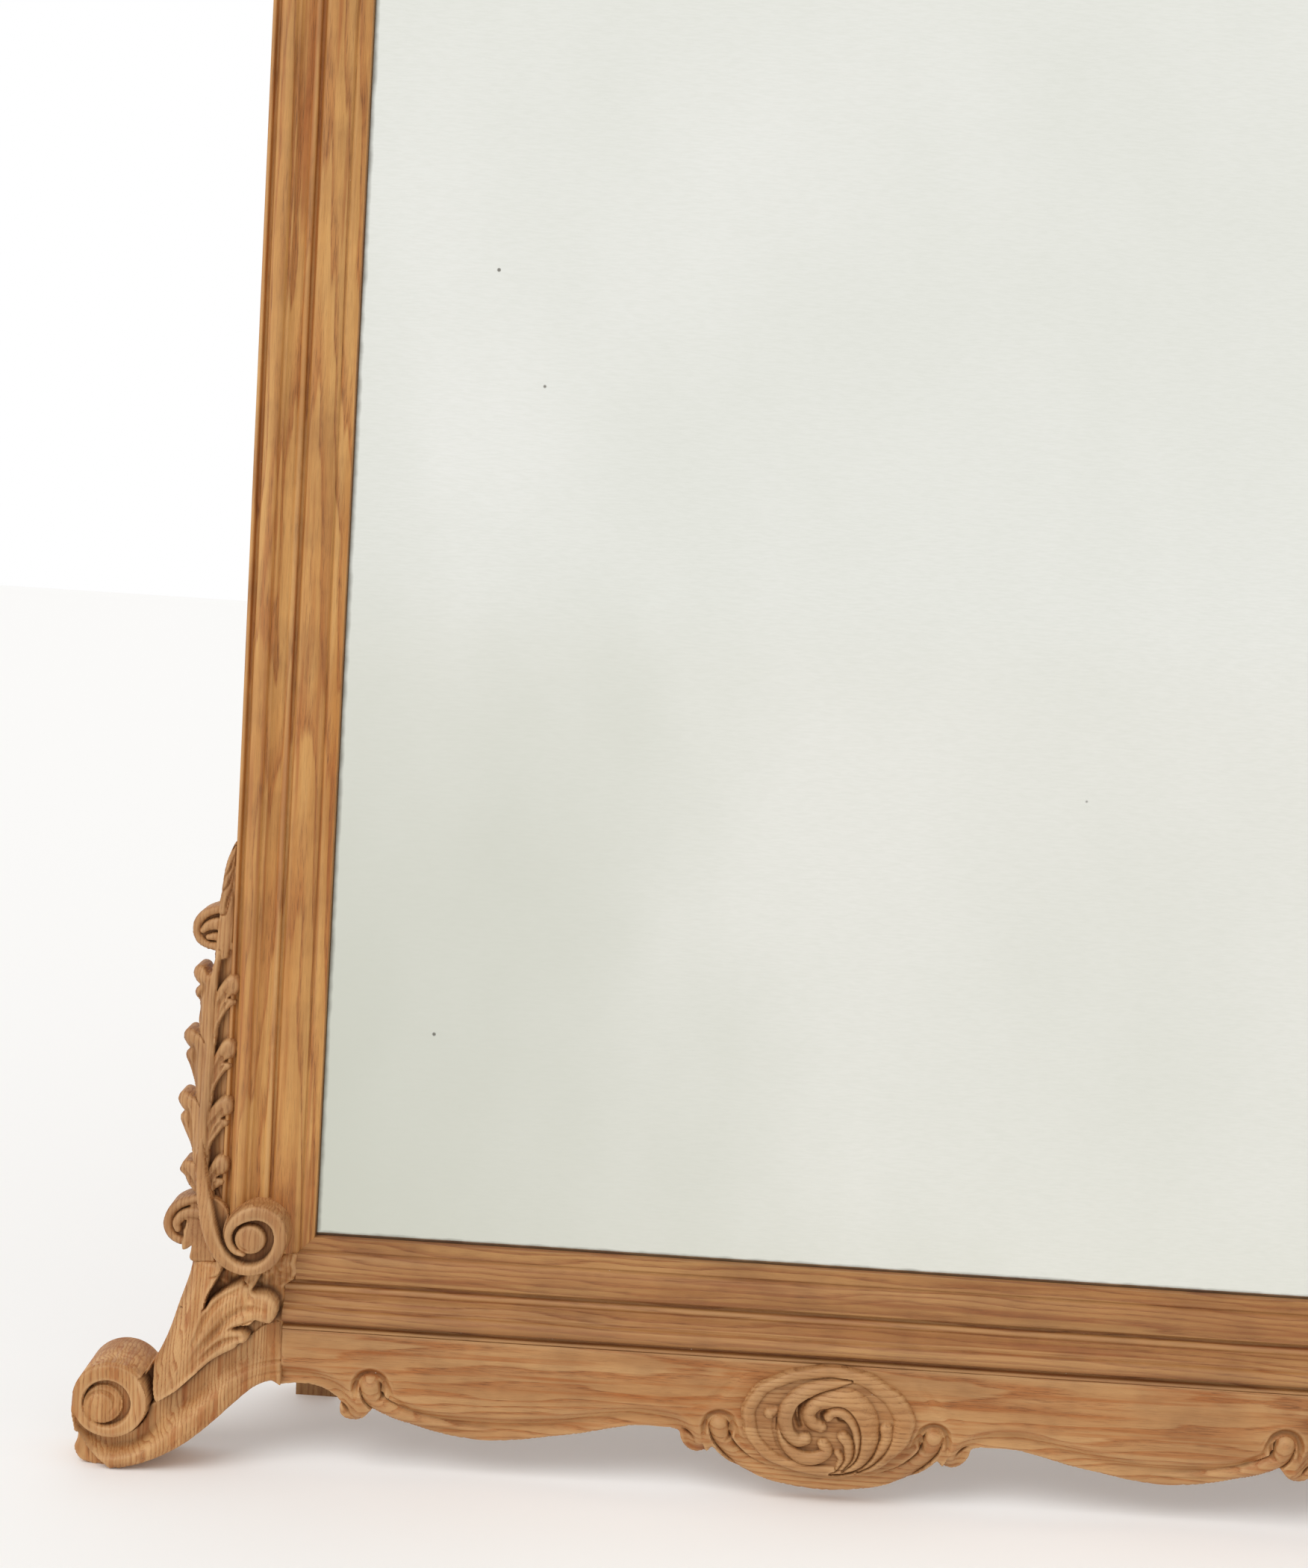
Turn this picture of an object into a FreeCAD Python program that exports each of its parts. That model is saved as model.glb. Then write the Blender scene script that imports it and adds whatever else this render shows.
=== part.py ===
"""Floor mirror: a moulded oak frame on carved scroll feet, with a folding prop behind it.

X runs to the right, Y to the back and Z up. Every piece is drawn with X = 0 in the middle of the
frame, Y = 0 at the back of the lip that the plate bears on, and Z = 0 on the floor. The last step
moves them all so that the origin is the middle of the base.
"""
import FreeCAD, Part
import math
import os

V = FreeCAD.Vector

# ---- the frame's opening and its moulding, mm
SIGHT_WIDTH = 800  # the glass seen between the stiles
SIGHT_HEIGHT = 1400  # the glass seen between the rails
FLOOR_DROP = 183  # the floor below the lower edge of the sight
MOULDING_WIDTH = 71
FRAME_BACK = 20  # the back of the stiles and rails behind the lip
LIP_WIDTH = 10  # the lip in front of the plate
LIP_RISE = 7  # the lip's thickness
TORUS_RISE = 22  # the moulding's highest line in front of the plate
ARRIS_RISE = 15  # the outer edge of the moulding in front of the plate

# ---- the plate and what holds it
PLATE_THICKNESS = 5
PLATE_BITE = 8  # the plate behind the lip on each side
PLATE_GAP = 0.3  # between the lip and the plate
BOARD_LEDGE = 12  # the width of the ledge that the back boards are screwed to
BOARD_SEAT = 9  # the ledge's place behind the lip
BOARD_THICKNESS = 6
BOARD_COUNT = 5
BOARD_GAP = 0.5  # between two boards, and round them
BLOCK_LENGTH = 50
BLOCKS_PER_STILE = 4
BLOCKS_PER_RAIL = 2

# ---- lower corners
DRAWN_DROP = 183  # the FLOOR_DROP that the curves of the base are drawn for
BASE_SCALE = FLOOR_DROP / DRAWN_DROP  # the heights of those curves grow with it
SEAM_OUT = 20  # the seam between apron and foot, outside the sight edge
MITRE = 12  # the short mitre at the lower sight corner
SEAM_STEP_DOWN = (31, 37)  # where the seam steps outwards, below the sight edge
FOOT_FRONT = 32  # the face of the foot in front of the lip
SHOULDER_DOWN = 20  # the top of the foot's shoulder under the bracket
VOLUTE_OUT = 144.7  # the foot volute's centre outside the sight edge
VOLUTE_UP = 54.9 * BASE_SCALE  # and above the floor
VOLUTE_RADIUS = 29.5
VOLUTE_FRONT = 38  # the volute's face in front of the lip
VOLUTE_STEP = 0.5  # the volute's face is this much smaller than the roll behind it
TOE_OUT = 174  # the toe under the volute
ARCH_RISE = 67 * BASE_SCALE  # the soffit of the arch at the seam, above the floor

# ---- apron
APRON_FRONT = 16
APRON_BACK = 8
LOBE_UP = 12.4 * BASE_SCALE  # the lowest point of the apron above the floor
TONGUE_HEIGHT = 12
TONGUE_THICKNESS = 10
ROSETTE_RADII = (67, 44)
ROSETTE_FRONT = 28
ROSETTE_UP = 69 * BASE_SCALE  # the rosette's centre above the floor

# ---- side brackets, measured out from the stile and up from the sight's lower edge
BRACKET_FRONT = 20
BRACKET_BACK = 14
STEM_WIDTH = 15
LEAF_PITCH = 49.7
LEAF_FIRST_UP = 95.8  # the first whole leaf's tip
LEAF_TIPS_OUT = (38.1, 35, 28.5)
THORN = (36.6, 41.6)
LOWER_CURL = (30.1, 2.5, 18.5)  # out, up, radius
UPPER_CURL = (17.5, 235, 16)
BRACKET_TOP = 301
BRACKET_FOOT_WIDTH = 19.5
BRACKET_SCREWS_UP = (67, 167, 257)

# ---- the scrolls planted on the stiles, measured from the sight's lower corner
STILE_VOLUTE = (39.5, 7, 27.5)  # out, up, radius
STILE_VOLUTE_FRONT = 38
PLANTED_GAP = 0.3  # the glue line under a planted carving

# ---- crest
CREST_SHORT = 55  # the crest's end inside the sight edge
CREST_RISE = 122  # above the top rail
CREST_FRONT = 14
CREST_BACK = 8
CREST_ORNAMENT_RADII = (62, 42)
CREST_ORNAMENT_UP = 60
CREST_ORNAMENT_FRONT = 26

# ---- joints in the wood
JOINT_CLEARANCE = 0.2
TENON = (30, 11, 40, 8)  # the stile's tenon: its shoulders, its length and half its thickness
APRON_TENON = (30, 17, 5)  # length, height less than the apron's, half thickness
PEG_RADIUS = 3.5
PEG_CLEARANCE = 0.05
KEY_LEG = 50  # the keys across the upper mitres
KEY_THICKNESS = 4

# ---- the prop
HINGE_HEIGHT = 1110  # the hinge line above the floor
PROP_ANGLE = 6  # degrees open, at rest
PROP_THICKNESS = 22
PROP_GAP = 0.5  # between the folded prop and the frame's back
LEG_WIDTH = 35
LEG_INSIDE = 5  # the leg's inner face inside the sight edge
REAR_RAIL_HEIGHT = 70
REAR_RAIL_THICKNESS = 22
PROP_RAIL_HEIGHT = 60
RUNG_HEIGHT = 36
RUNG_THICKNESS = 16
RUNG_HEIGHTS = (150, 560)  # lower edges above the floor, along the leg
RUNG_TENON = 20
HINGE_LENGTH = 66
HINGE_LEAF_DEPTH = 19
HINGE_LEAF = 2  # the leaf's thickness
HINGE_OUT = 290  # the hinges' middles from the middle of the frame
KNUCKLE_RADIUS = 4
HINGE_PIN_RADIUS = 1.5
RUNNING_CLEARANCE = 0.05
SHUT_GAP = 0.3  # between the two leaves at the stop

# ---- turn buttons
BUTTON_OUT = 48  # the button's pivot outside the sight edge
BUTTON_HEIGHT = 640  # the pivot above the floor
BUTTON_SIZE = (18, 64, 8)  # width, length, thickness
BUTTON_BLOCK = (24, 60)  # width, height
BUTTON_SCREW_RADIUS = 2
BUTTON_LIFT = 0.5  # between the block and the button

# ---- screws
SCREW_RADIUS = 2
SCREW_HEAD_RADIUS = 4
SCREW_HEAD_HEIGHT = 2.4
SCREW_CLEARANCE = 0.05

HALF_SIGHT = SIGHT_WIDTH / 2
SIGHT_TOP = FLOOR_DROP + SIGHT_HEIGHT
FRAME_TOP = SIGHT_TOP + MOULDING_WIDTH
MOULDING_FOOT = FLOOR_DROP - MOULDING_WIDTH
SHOULDER = FLOOR_DROP - SHOULDER_DOWN
LEDGE_OUT = LIP_WIDTH + BOARD_LEDGE
FAR = 3000  # longer than anything here


class Outline:
    """A closed outline drawn from point to point in the plane that `place` lays it in."""

    def __init__(self, start, place):
        self.place = place
        self.first = start
        self.last = start
        self.edges = []

    def line(self, *points):
        for point in points:
            self.edges.append(Part.makeLine(self.place(*self.last), self.place(*point)))
            self.last = point
        return self

    def arc(self, middle, end):
        edge = Part.Arc(self.place(*self.last), self.place(*middle), self.place(*end)).toShape()
        self.edges.append(edge)
        self.last = end
        return self

    def curve(self, *points):
        spline = Part.BSplineCurve()
        spline.interpolate([self.place(*point) for point in (self.last, *points)])
        self.edges.append(spline.toShape())
        self.last = points[-1]
        return self

    def face(self):
        if self.last != self.first:
            self.line(self.first)
        return Part.Face(Part.Wire(self.edges))


def front_view(x, z):
    return V(x, 0, z)


def beside_sight(out, z):
    """A place on the right-hand side, measured outwards from the sight edge."""
    return V(HALF_SIGHT + out, 0, z)


def beside_stile(out, up):
    """A place on the right-hand side, outwards from the stile and up from the sight's lower edge."""
    return V(HALF_SIGHT + MOULDING_WIDTH + out, 0, FLOOR_DROP + up)


def section_view(out, rise):
    """A place in a section of the moulding, before it is laid along its length."""
    return V(out, -rise, 0)


def member(out, rise):
    """A point of the moulding's face, whose members widen with the moulding."""
    return LIP_WIDTH + (out - LIP_WIDTH) * (MOULDING_WIDTH - LIP_WIDTH) / 61, rise


def stretched(points, near, far, new_far):
    """The points with the stretch from `near` to `far` drawn out to `new_far`."""
    return [(near + (x - near) * (new_far - near) / (far - near), up) for x, up in points]


def board(outline, front, back):
    """The outline made into a board from `front` before the lip to `back` behind it."""
    face = outline.face()
    face.translate(V(0, -front, 0))
    return face.extrude(V(0, front + back, 0))


def box(x, y, z):
    """A box between the two values given for each direction."""
    return Part.makeBox(x[1] - x[0], y[1] - y[0], z[1] - z[0], V(x[0], y[0], z[0]))


def rod(radius, centre, direction, length):
    return Part.makeCylinder(radius, length, centre, direction)


def fused(shapes):
    whole = shapes[0]
    for shape in shapes[1:]:
        whole = whole.fuse(shape)
    return whole.removeSplitter()


def mirrored(shape):
    return shape.mirror(V(0, 0, 0), V(1, 0, 0))


def both_sides(shape):
    return [shape, mirrored(shape)]


# ------------------------------------------------------------------ screws and pegs
def screw(head, direction, length, slack=0.0):
    """A countersunk screw whose head lies flush at `head`, or with slack the hole that it takes."""
    cone = Part.makeCone(SCREW_HEAD_RADIUS + slack, SCREW_RADIUS + slack,
                         SCREW_HEAD_HEIGHT, head, direction)
    return cone.fuse(rod(SCREW_RADIUS + slack, head, direction, length + slack))


def screws(heads, direction, length, slack=0.0):
    return [screw(head, direction, length, slack) for head in heads]


def drilled(shape, tools):
    """The shape without the tools that reach into it."""
    near = [tool for tool in tools if tool.BoundBox.intersect(shape.BoundBox)]
    return shape.cut(near) if near else shape


# ------------------------------------------------------------------ moulded frame
def moulding(length):
    """The moulding lying along Z, with the sight edge on the Z axis and its face to the front."""
    outline = Outline((0, 0), section_view)
    outline.line((0, LIP_RISE), (9.5, LIP_RISE + 1.6), (10.4, LIP_RISE + 0.4),
                 (11.4, LIP_RISE + 2.6))
    outline.arc(member(22, 14.2), member(31.5, 13.6)).line(member(33.2, 9.4), member(35.6, 9.2))
    outline.arc(member(38.6, 12.9), member(41.2, 11.4)).line(member(42, 12.6))
    outline.arc(member(46.8, 13.2), member(50, 16.8)).line(member(52, 16.6))
    outline.arc(member(58, TORUS_RISE), member(64, 15.6)).line(member(65, 12.4), member(67.2, 12.2))
    outline.line(member(68, ARRIS_RISE - 0.4))
    outline.arc(member(69.8, ARRIS_RISE + 0.6), (MOULDING_WIDTH, ARRIS_RISE - 1))
    outline.line((MOULDING_WIDTH, -FRAME_BACK), (LEDGE_OUT, -FRAME_BACK), (LEDGE_OUT, -BOARD_SEAT),
                 (LIP_WIDTH, -BOARD_SEAT), (LIP_WIDTH, 0))
    return outline.face().extrude(V(0, 0, length))


def corner_key():
    """The triangle of oak let into the outer corner of a mitre, and the slot that it fits."""
    layer = (FRAME_BACK - KEY_THICKNESS) / 2
    def triangle(slack):
        leg = KEY_LEG + slack
        outline = Outline((MOULDING_WIDTH, FRAME_TOP), beside_sight)
        outline.line((MOULDING_WIDTH - leg, FRAME_TOP), (MOULDING_WIDTH, FRAME_TOP - leg))
        return board(outline, slack - layer, layer + KEY_THICKNESS + slack)
    return triangle(0), triangle(JOINT_CLEARANCE)


def stile_tenon(slack):
    inner, outer, length, half = TENON
    across = (HALF_SIGHT + inner - slack, HALF_SIGHT + MOULDING_WIDTH - outer + slack)
    return box(across, (-half - slack, half + slack),
               (FLOOR_DROP - MITRE - length - slack, FLOOR_DROP))


def right_stile():
    """The stile, mitred at the top and seated on the foot by a tenon."""
    bar = moulding(FAR)
    bar.translate(V(HALF_SIGHT, 0, 0))
    seat = FLOOR_DROP - MITRE
    outline = Outline((0, FLOOR_DROP), beside_sight)
    outline.line((0, SIGHT_TOP), (MOULDING_WIDTH, FRAME_TOP), (MOULDING_WIDTH, seat), (MITRE, seat))
    return bar.common(board(outline, FAR, FAR)).fuse(stile_tenon(0))


def top_rail():
    bar = moulding(2 * FAR)
    bar.rotate(V(0, 0, 0), V(0, 1, 0), -90)
    bar.translate(V(FAR, 0, SIGHT_TOP))
    outer = HALF_SIGHT + MOULDING_WIDTH
    outline = Outline((-HALF_SIGHT, SIGHT_TOP), front_view)
    outline.line((-outer, FRAME_TOP), (outer, FRAME_TOP), (HALF_SIGHT, SIGHT_TOP))
    return bar.common(board(outline, FAR, FAR))


def seam(place_side):
    """The seam between the lower rail or apron and the foot, from the sight edge to the arch."""
    step_top, step_foot = (FLOOR_DROP - down for down in SEAM_STEP_DOWN)
    return [(place_side * (HALF_SIGHT + out), z) for out, z in (
        (0, FLOOR_DROP), (MITRE, FLOOR_DROP - MITRE), (MITRE, step_top), (SEAM_OUT, step_foot))]


def tongue(slack):
    """The tongue along the top of the apron, or its groove."""
    middle = (APRON_BACK - APRON_FRONT) / 2 + 5
    half = TONGUE_THICKNESS / 2 + slack
    return box((-HALF_SIGHT - SEAM_OUT, HALF_SIGHT + SEAM_OUT), (middle - half, middle + half),
               (MOULDING_FOOT - 1, MOULDING_FOOT + TONGUE_HEIGHT + slack))


def bottom_rail():
    bar = moulding(2 * FAR)
    bar.rotate(V(0, 0, 0), V(0, 1, 0), 90)
    bar.translate(V(-FAR, 0, FLOOR_DROP))
    end = HALF_SIGHT + SEAM_OUT
    right = seam(1) + [(end, MOULDING_FOOT)]
    left = seam(-1) + [(-end, MOULDING_FOOT)]
    outline = Outline(right[0], front_view).line(*right[1:], *reversed(left))
    return bar.common(board(outline, FAR, FAR)).cut(tongue(JOINT_CLEARANCE))


# ------------------------------------------------------------------ apron
def apron_half(outline, side):
    """The serpentine lower edge from the middle out to the seam, or on the left back to the middle."""
    end = HALF_SIGHT + SEAM_OUT
    middle_lobe = [(27, 14.7), (50, 20.2), (74, 30.2), (86, 39.7)]
    drop = [(98, 34.4), (110, 41)]
    long_lobe = [(119, 52.4), (144, 52.7)] + stretched(
        [(189, 43), (234, 34.8), (258, 32.6), (303, 37.8), (349, 52.7)], 144, 349, end - 71)
    outer_drop = [(end - 62, 44), (end - 54, 42.5), (end - 46, 46)]
    arch = [(end - 36, 62.6), (end - 24, 68.4), (end, 67)]
    pieces = [[(x, z * BASE_SCALE) for x, z in points]
              for points in (middle_lobe, drop, long_lobe, outer_drop, arch)]
    if side > 0:
        for points in pieces:
            outline.curve(*points)
        return
    flat = [(0, LOBE_UP)] + [point for points in pieces for point in points]
    place = len(flat) - 1
    for points in reversed(pieces):
        place -= len(points)
        outline.curve(*[(-x, z) for x, z in reversed(flat[place:place + len(points)])])


def apron_tenon_heights():
    low = ARCH_RISE + 6
    return low, low + MOULDING_FOOT - ARCH_RISE - APRON_TENON[1]


def apron_tenons(slack):
    """The tenons at the two ends of the apron, or their mortises."""
    length, _, half = APRON_TENON
    low, high = apron_tenon_heights()
    end = HALF_SIGHT + SEAM_OUT
    tenon = box((end - 1, end + length + slack), (-half - slack, half + slack),
                (low - slack, high + slack))
    return both_sides(tenon)


def apron():
    end = HALF_SIGHT + SEAM_OUT
    outline = Outline((0, LOBE_UP), front_view)
    apron_half(outline, 1)
    outline.line((end, MOULDING_FOOT), (-end, MOULDING_FOOT), (-end, ARCH_RISE))
    apron_half(outline, -1)
    return fused([board(outline, APRON_FRONT, APRON_BACK), tongue(0), *apron_tenons(0)])


def ellipse_board(radii, up, front, seat):
    ellipse = Part.Ellipse(V(0, -front, up), *radii)
    ellipse.Axis = V(0, -1, 0)
    face = Part.Face(Part.Wire(ellipse.toShape()))
    return face.extrude(V(0, front - seat, 0))


# ------------------------------------------------------------------ feet
def right_foot():
    """The scroll foot: arch, toe, volute and the console up to the bracket, from one block."""
    top = FLOOR_DROP - MITRE
    step_top, step_foot = (FLOOR_DROP - down for down in SEAM_STEP_DOWN)
    def risen(*points):
        return [(out, up * BASE_SCALE) for out, up in points]
    outline = Outline((SEAM_OUT, ARCH_RISE), beside_sight)
    outline.curve(*risen((38.6, 65.5), (49.5, 57.8), (71.4, 37.5), (93.4, 20), (108, 9), (120, 0)))
    outline.line((160, 0)).curve(*risen((169, 3.5), (TOE_OUT - 0.5, 12), (171.5, 24)))
    outline.curve((VOLUTE_OUT + VOLUTE_RADIUS, VOLUTE_UP))
    outline.arc((VOLUTE_OUT, VOLUTE_UP + VOLUTE_RADIUS), (VOLUTE_OUT - 23, VOLUTE_UP + 18.5))
    outline.curve(*risen((113.5, 88), (106.3, 105.4), (99.2, 129.7), (91.6, 153)),
                  (MOULDING_WIDTH + BRACKET_FOOT_WIDTH, SHOULDER))
    outline.line((MOULDING_WIDTH, SHOULDER), (MOULDING_WIDTH, top), (MITRE, top), (MITRE, step_top),
                 (SEAM_OUT, step_foot))
    block = board(outline, FOOT_FRONT, FRAME_BACK)
    face = rod(VOLUTE_RADIUS - VOLUTE_STEP, V(HALF_SIGHT + VOLUTE_OUT, -VOLUTE_FRONT, VOLUTE_UP),
               V(0, 1, 0), 2 * (VOLUTE_FRONT - FOOT_FRONT))
    rebate = box((HALF_SIGHT, HALF_SIGHT + LEDGE_OUT), (BOARD_SEAT, FAR),
                 (FLOOR_DROP - LEDGE_OUT, FLOOR_DROP))
    mortises = [stile_tenon(JOINT_CLEARANCE), apron_tenons(JOINT_CLEARANCE)[0]]
    return drilled(fused([block, face]), [rebate, *mortises])


# ------------------------------------------------------------------ brackets
def leaf(tip_out, tip_up):
    """One leaf of the side bracket: a sprig that leaves the stem and ends in a round lobe."""
    stem = STEM_WIDTH - 2
    outline = Outline((stem, tip_up - LEAF_PITCH + 2), beside_stile)
    outline.curve((stem + 7, tip_up - 34), (tip_out - 4, tip_up - 20), (tip_out, tip_up - 4),
                  (tip_out - 6, tip_up + 4))
    outline.curve((tip_out - 12, tip_up), (stem, tip_up - 12))
    return board(outline, BRACKET_FRONT - 6, BRACKET_BACK - 6)


def right_bracket():
    """The carved bracket beside the stile: a stem with leaves, and a curl at each end."""
    outline = Outline((0, -SHOULDER_DOWN), beside_stile)
    outline.line((BRACKET_FOOT_WIDTH, -SHOULDER_DOWN))
    outline.curve((STEM_WIDTH + 1, 22), (STEM_WIDTH, 117), (STEM_WIDTH - 4, 217), (8, 277),
                  (0, BRACKET_TOP))
    pieces = [board(outline, BRACKET_FRONT, BRACKET_BACK)]
    for out, up, radius in (LOWER_CURL, UPPER_CURL):
        centre = beside_stile(out, up) + V(0, 4 - BRACKET_FRONT, 0)
        pieces.append(rod(radius, centre, V(0, 1, 0), BRACKET_FRONT + BRACKET_BACK - 8))
    tips = [(out, LEAF_FIRST_UP + row * LEAF_PITCH) for row, out in enumerate(LEAF_TIPS_OUT)]
    pieces += [leaf(out, up) for out, up in [THORN, *tips]]
    inside = HALF_SIGHT + MOULDING_WIDTH
    beside_frame = box((inside, inside + 200), (-FAR, FAR), (SHOULDER, FAR))
    return fused(pieces).common(beside_frame)


def right_stile_volute(seats):
    """The scroll planted over the foot of the stile, shaped to what it lies on."""
    out, up, radius = STILE_VOLUTE
    disc = rod(radius, V(HALF_SIGHT + out, -STILE_VOLUTE_FRONT, FLOOR_DROP + up), V(0, 1, 0),
               STILE_VOLUTE_FRONT)
    low = (out - MOULDING_WIDTH, up - radius)
    outline = Outline((15, 65), beside_stile)
    outline.curve((14.5, 23), (7, -3), (-9, -18), low)
    outline.line((low[0], low[1] + 9)).curve((-11, -7), (-1, 7), (3, 29), (7, 65))
    arm = board(outline, STILE_VOLUTE_FRONT - 2, 0)
    planted = fused([disc, arm])
    for seat in seats:
        nearer = seat.copy()
        nearer.translate(V(0, -PLANTED_GAP, 0))
        planted = planted.cut(nearer)
    return max(planted.Solids, key=lambda solid: solid.Volume)


# ------------------------------------------------------------------ crest
def crest_half(outline, side):
    """The crest's edge from the end up to the middle, or on the right down again."""
    wing = stretched([(345, 0), (330, 22), (286, 46), (232, 56), (170, 50)], 132, 345,
                     HALF_SIGHT - CREST_SHORT)
    pieces = [[*wing[1:], (132, 47)], [(120, 60), (106, 72), (92, 66)],
              [(72, 92), (40, 114), (0, CREST_RISE)]]
    if side < 0:
        for points in pieces:
            outline.curve(*[(-x, FRAME_TOP + rise) for x, rise in points])
        return
    flat = [wing[0]] + [point for points in pieces for point in points]
    place = len(flat) - 1
    for points in reversed(pieces):
        place -= len(points)
        outline.curve(*[(x, FRAME_TOP + rise)
                        for x, rise in reversed(flat[place:place + len(points)])])


def crest_board():
    outline = Outline((CREST_SHORT - HALF_SIGHT, FRAME_TOP), front_view)
    crest_half(outline, -1)
    crest_half(outline, 1)
    return board(outline, CREST_FRONT, CREST_BACK)


# ------------------------------------------------------------------ plate, blocks and boards
def plate():
    side = HALF_SIGHT + PLATE_BITE
    return box((-side, side), (PLATE_GAP, PLATE_GAP + PLATE_THICKNESS),
               (FLOOR_DROP - PLATE_BITE, SIGHT_TOP + PLATE_BITE))


def plate_blocks():
    """The pine blocks glued round the rebate behind the plate."""
    front = PLATE_GAP + PLATE_THICKNESS + 0.2
    depth = (front, BOARD_SEAT - 0.2)
    side = (HALF_SIGHT + 1, HALF_SIGHT + LIP_WIDTH - 0.1)
    blocks = []
    for place in range(BLOCKS_PER_STILE):
        middle = FLOOR_DROP + SIGHT_HEIGHT * (place + 0.5) / BLOCKS_PER_STILE
        blocks += both_sides(box(side, depth, (middle - BLOCK_LENGTH / 2, middle + BLOCK_LENGTH / 2)))
    for place in range(BLOCKS_PER_RAIL):
        middle = HALF_SIGHT * (place + 0.5) / BLOCKS_PER_RAIL
        for low in (FLOOR_DROP - LIP_WIDTH + 0.1, SIGHT_TOP + 1):
            high = low + side[1] - side[0]
            across = (middle - BLOCK_LENGTH / 2, middle + BLOCK_LENGTH / 2)
            blocks += both_sides(box(across, depth, (low, high)))
    return blocks


def board_pitch():
    return (SIGHT_HEIGHT + 2 * LEDGE_OUT) / BOARD_COUNT


def back_boards():
    side = HALF_SIGHT + LEDGE_OUT - BOARD_GAP
    foot = FLOOR_DROP - LEDGE_OUT
    return [box((-side, side), (BOARD_SEAT, BOARD_SEAT + BOARD_THICKNESS),
                (foot + row * board_pitch() + BOARD_GAP, foot + (row + 1) * board_pitch() - BOARD_GAP))
            for row in range(BOARD_COUNT)]


def board_screw_heads():
    heads = []
    out = HALF_SIGHT + LIP_WIDTH + BOARD_LEDGE / 2
    for row in range(BOARD_COUNT):
        for share in (0.2, 0.8):
            up = FLOOR_DROP - LEDGE_OUT + (row + share) * board_pitch()
            heads += [V(x, BOARD_SEAT + BOARD_THICKNESS, up) for x in (-out, out)]
    return heads


# ------------------------------------------------------------------ rear rail, prop and hinges
AXIS_Y = FRAME_BACK
AXIS_Z = HINGE_HEIGHT - SHUT_GAP / 2
LEG_IN = HALF_SIGHT - LEG_INSIDE


def opened(shape):
    """A piece of the prop turned from flat against the frame to its open place."""
    shape.rotate(V(0, AXIS_Y, AXIS_Z), V(1, 0, 0), PROP_ANGLE)
    return shape


def prop_bar(x, z, thickness=PROP_THICKNESS):
    """A bar of the prop between the two values of X and Z, before the prop is opened."""
    front = FRAME_BACK + PROP_GAP
    return box(x, (front, front + thickness), z)


def below_hinge(shape):
    """The piece trimmed by the floor and by the shoulder that stops the prop when it is open."""
    return shape.common(box((-FAR, FAR), (-FAR, FAR), (0, HINGE_HEIGHT - SHUT_GAP)))


def hinge_middles():
    return (-HINGE_OUT, HINGE_OUT)


def knuckle_room(middle):
    half = HINGE_LENGTH / 2 + 1
    return rod(KNUCKLE_RADIUS + 0.6, V(middle - half, AXIS_Y, AXIS_Z), V(1, 0, 0), 2 * half)


def leaf_plate(middle, low, slack=0.0):
    """A hinge leaf's flat plate, or with slack the recess that it is let into."""
    half = HINGE_LENGTH / 2 + slack
    return box((middle - half, middle + half),
               (AXIS_Y, AXIS_Y + HINGE_LEAF_DEPTH + slack), (low, low + HINGE_LEAF))


def barrel(start, length):
    outside = rod(KNUCKLE_RADIUS, V(start, AXIS_Y, AXIS_Z), V(1, 0, 0), length)
    return outside.cut(rod(HINGE_PIN_RADIUS + RUNNING_CLEARANCE, V(start - 1, AXIS_Y, AXIS_Z),
                           V(1, 0, 0), length + 2))


def hinge(middle):
    """The fixed leaf, the moving leaf and the pin of one butt hinge, in the open place."""
    third = HINGE_LENGTH / 3
    start = middle - HINGE_LENGTH / 2
    play = 0.4  # between two barrels along the pin
    whole_barrel = rod(KNUCKLE_RADIUS + 0.4, V(start - 1, AXIS_Y, AXIS_Z), V(1, 0, 0), HINGE_LENGTH + 2)
    middle_gap = box((start + third - play / 2, start + 2 * third + play / 2),
                     (AXIS_Y - KNUCKLE_RADIUS - 1, AXIS_Y + KNUCKLE_RADIUS + 0.4),
                     (AXIS_Z - KNUCKLE_RADIUS - 1, AXIS_Z + KNUCKLE_RADIUS + 1))
    fixed = fused([leaf_plate(middle, HINGE_HEIGHT), barrel(start, third - play / 2),
                   barrel(start + 2 * third + play / 2, third - play / 2)])
    fixed = fixed.cut(middle_gap).cut(
        rod(HINGE_PIN_RADIUS + RUNNING_CLEARANCE, V(start - 1, AXIS_Y, AXIS_Z), V(1, 0, 0),
            HINGE_LENGTH + 2))
    moving_plate = leaf_plate(middle, HINGE_HEIGHT - SHUT_GAP - HINGE_LEAF)
    ends = [box((edge - 1, edge + third + play / 2), (AXIS_Y - 6, AXIS_Y + KNUCKLE_RADIUS + 0.4),
                (AXIS_Z - 6, AXIS_Z + 6))
            for edge in (start, start + 2 * third - play / 2 + 1)]
    moving = moving_plate.cut(ends[0]).cut(ends[1])
    moving = fused([moving, barrel(start + third + play / 2, third - play)]).cut(
        rod(HINGE_PIN_RADIUS + RUNNING_CLEARANCE, V(start - 1, AXIS_Y, AXIS_Z), V(1, 0, 0),
            HINGE_LENGTH + 2))
    pin = rod(HINGE_PIN_RADIUS, V(start, AXIS_Y, AXIS_Z), V(1, 0, 0), HINGE_LENGTH)
    return fixed, moving, pin


def hinge_screw_heads(height):
    return [V(middle + side * HINGE_LENGTH / 3, AXIS_Y + HINGE_LEAF_DEPTH * 0.62, height)
            for middle in hinge_middles() for side in (-1, 1)]


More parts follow.
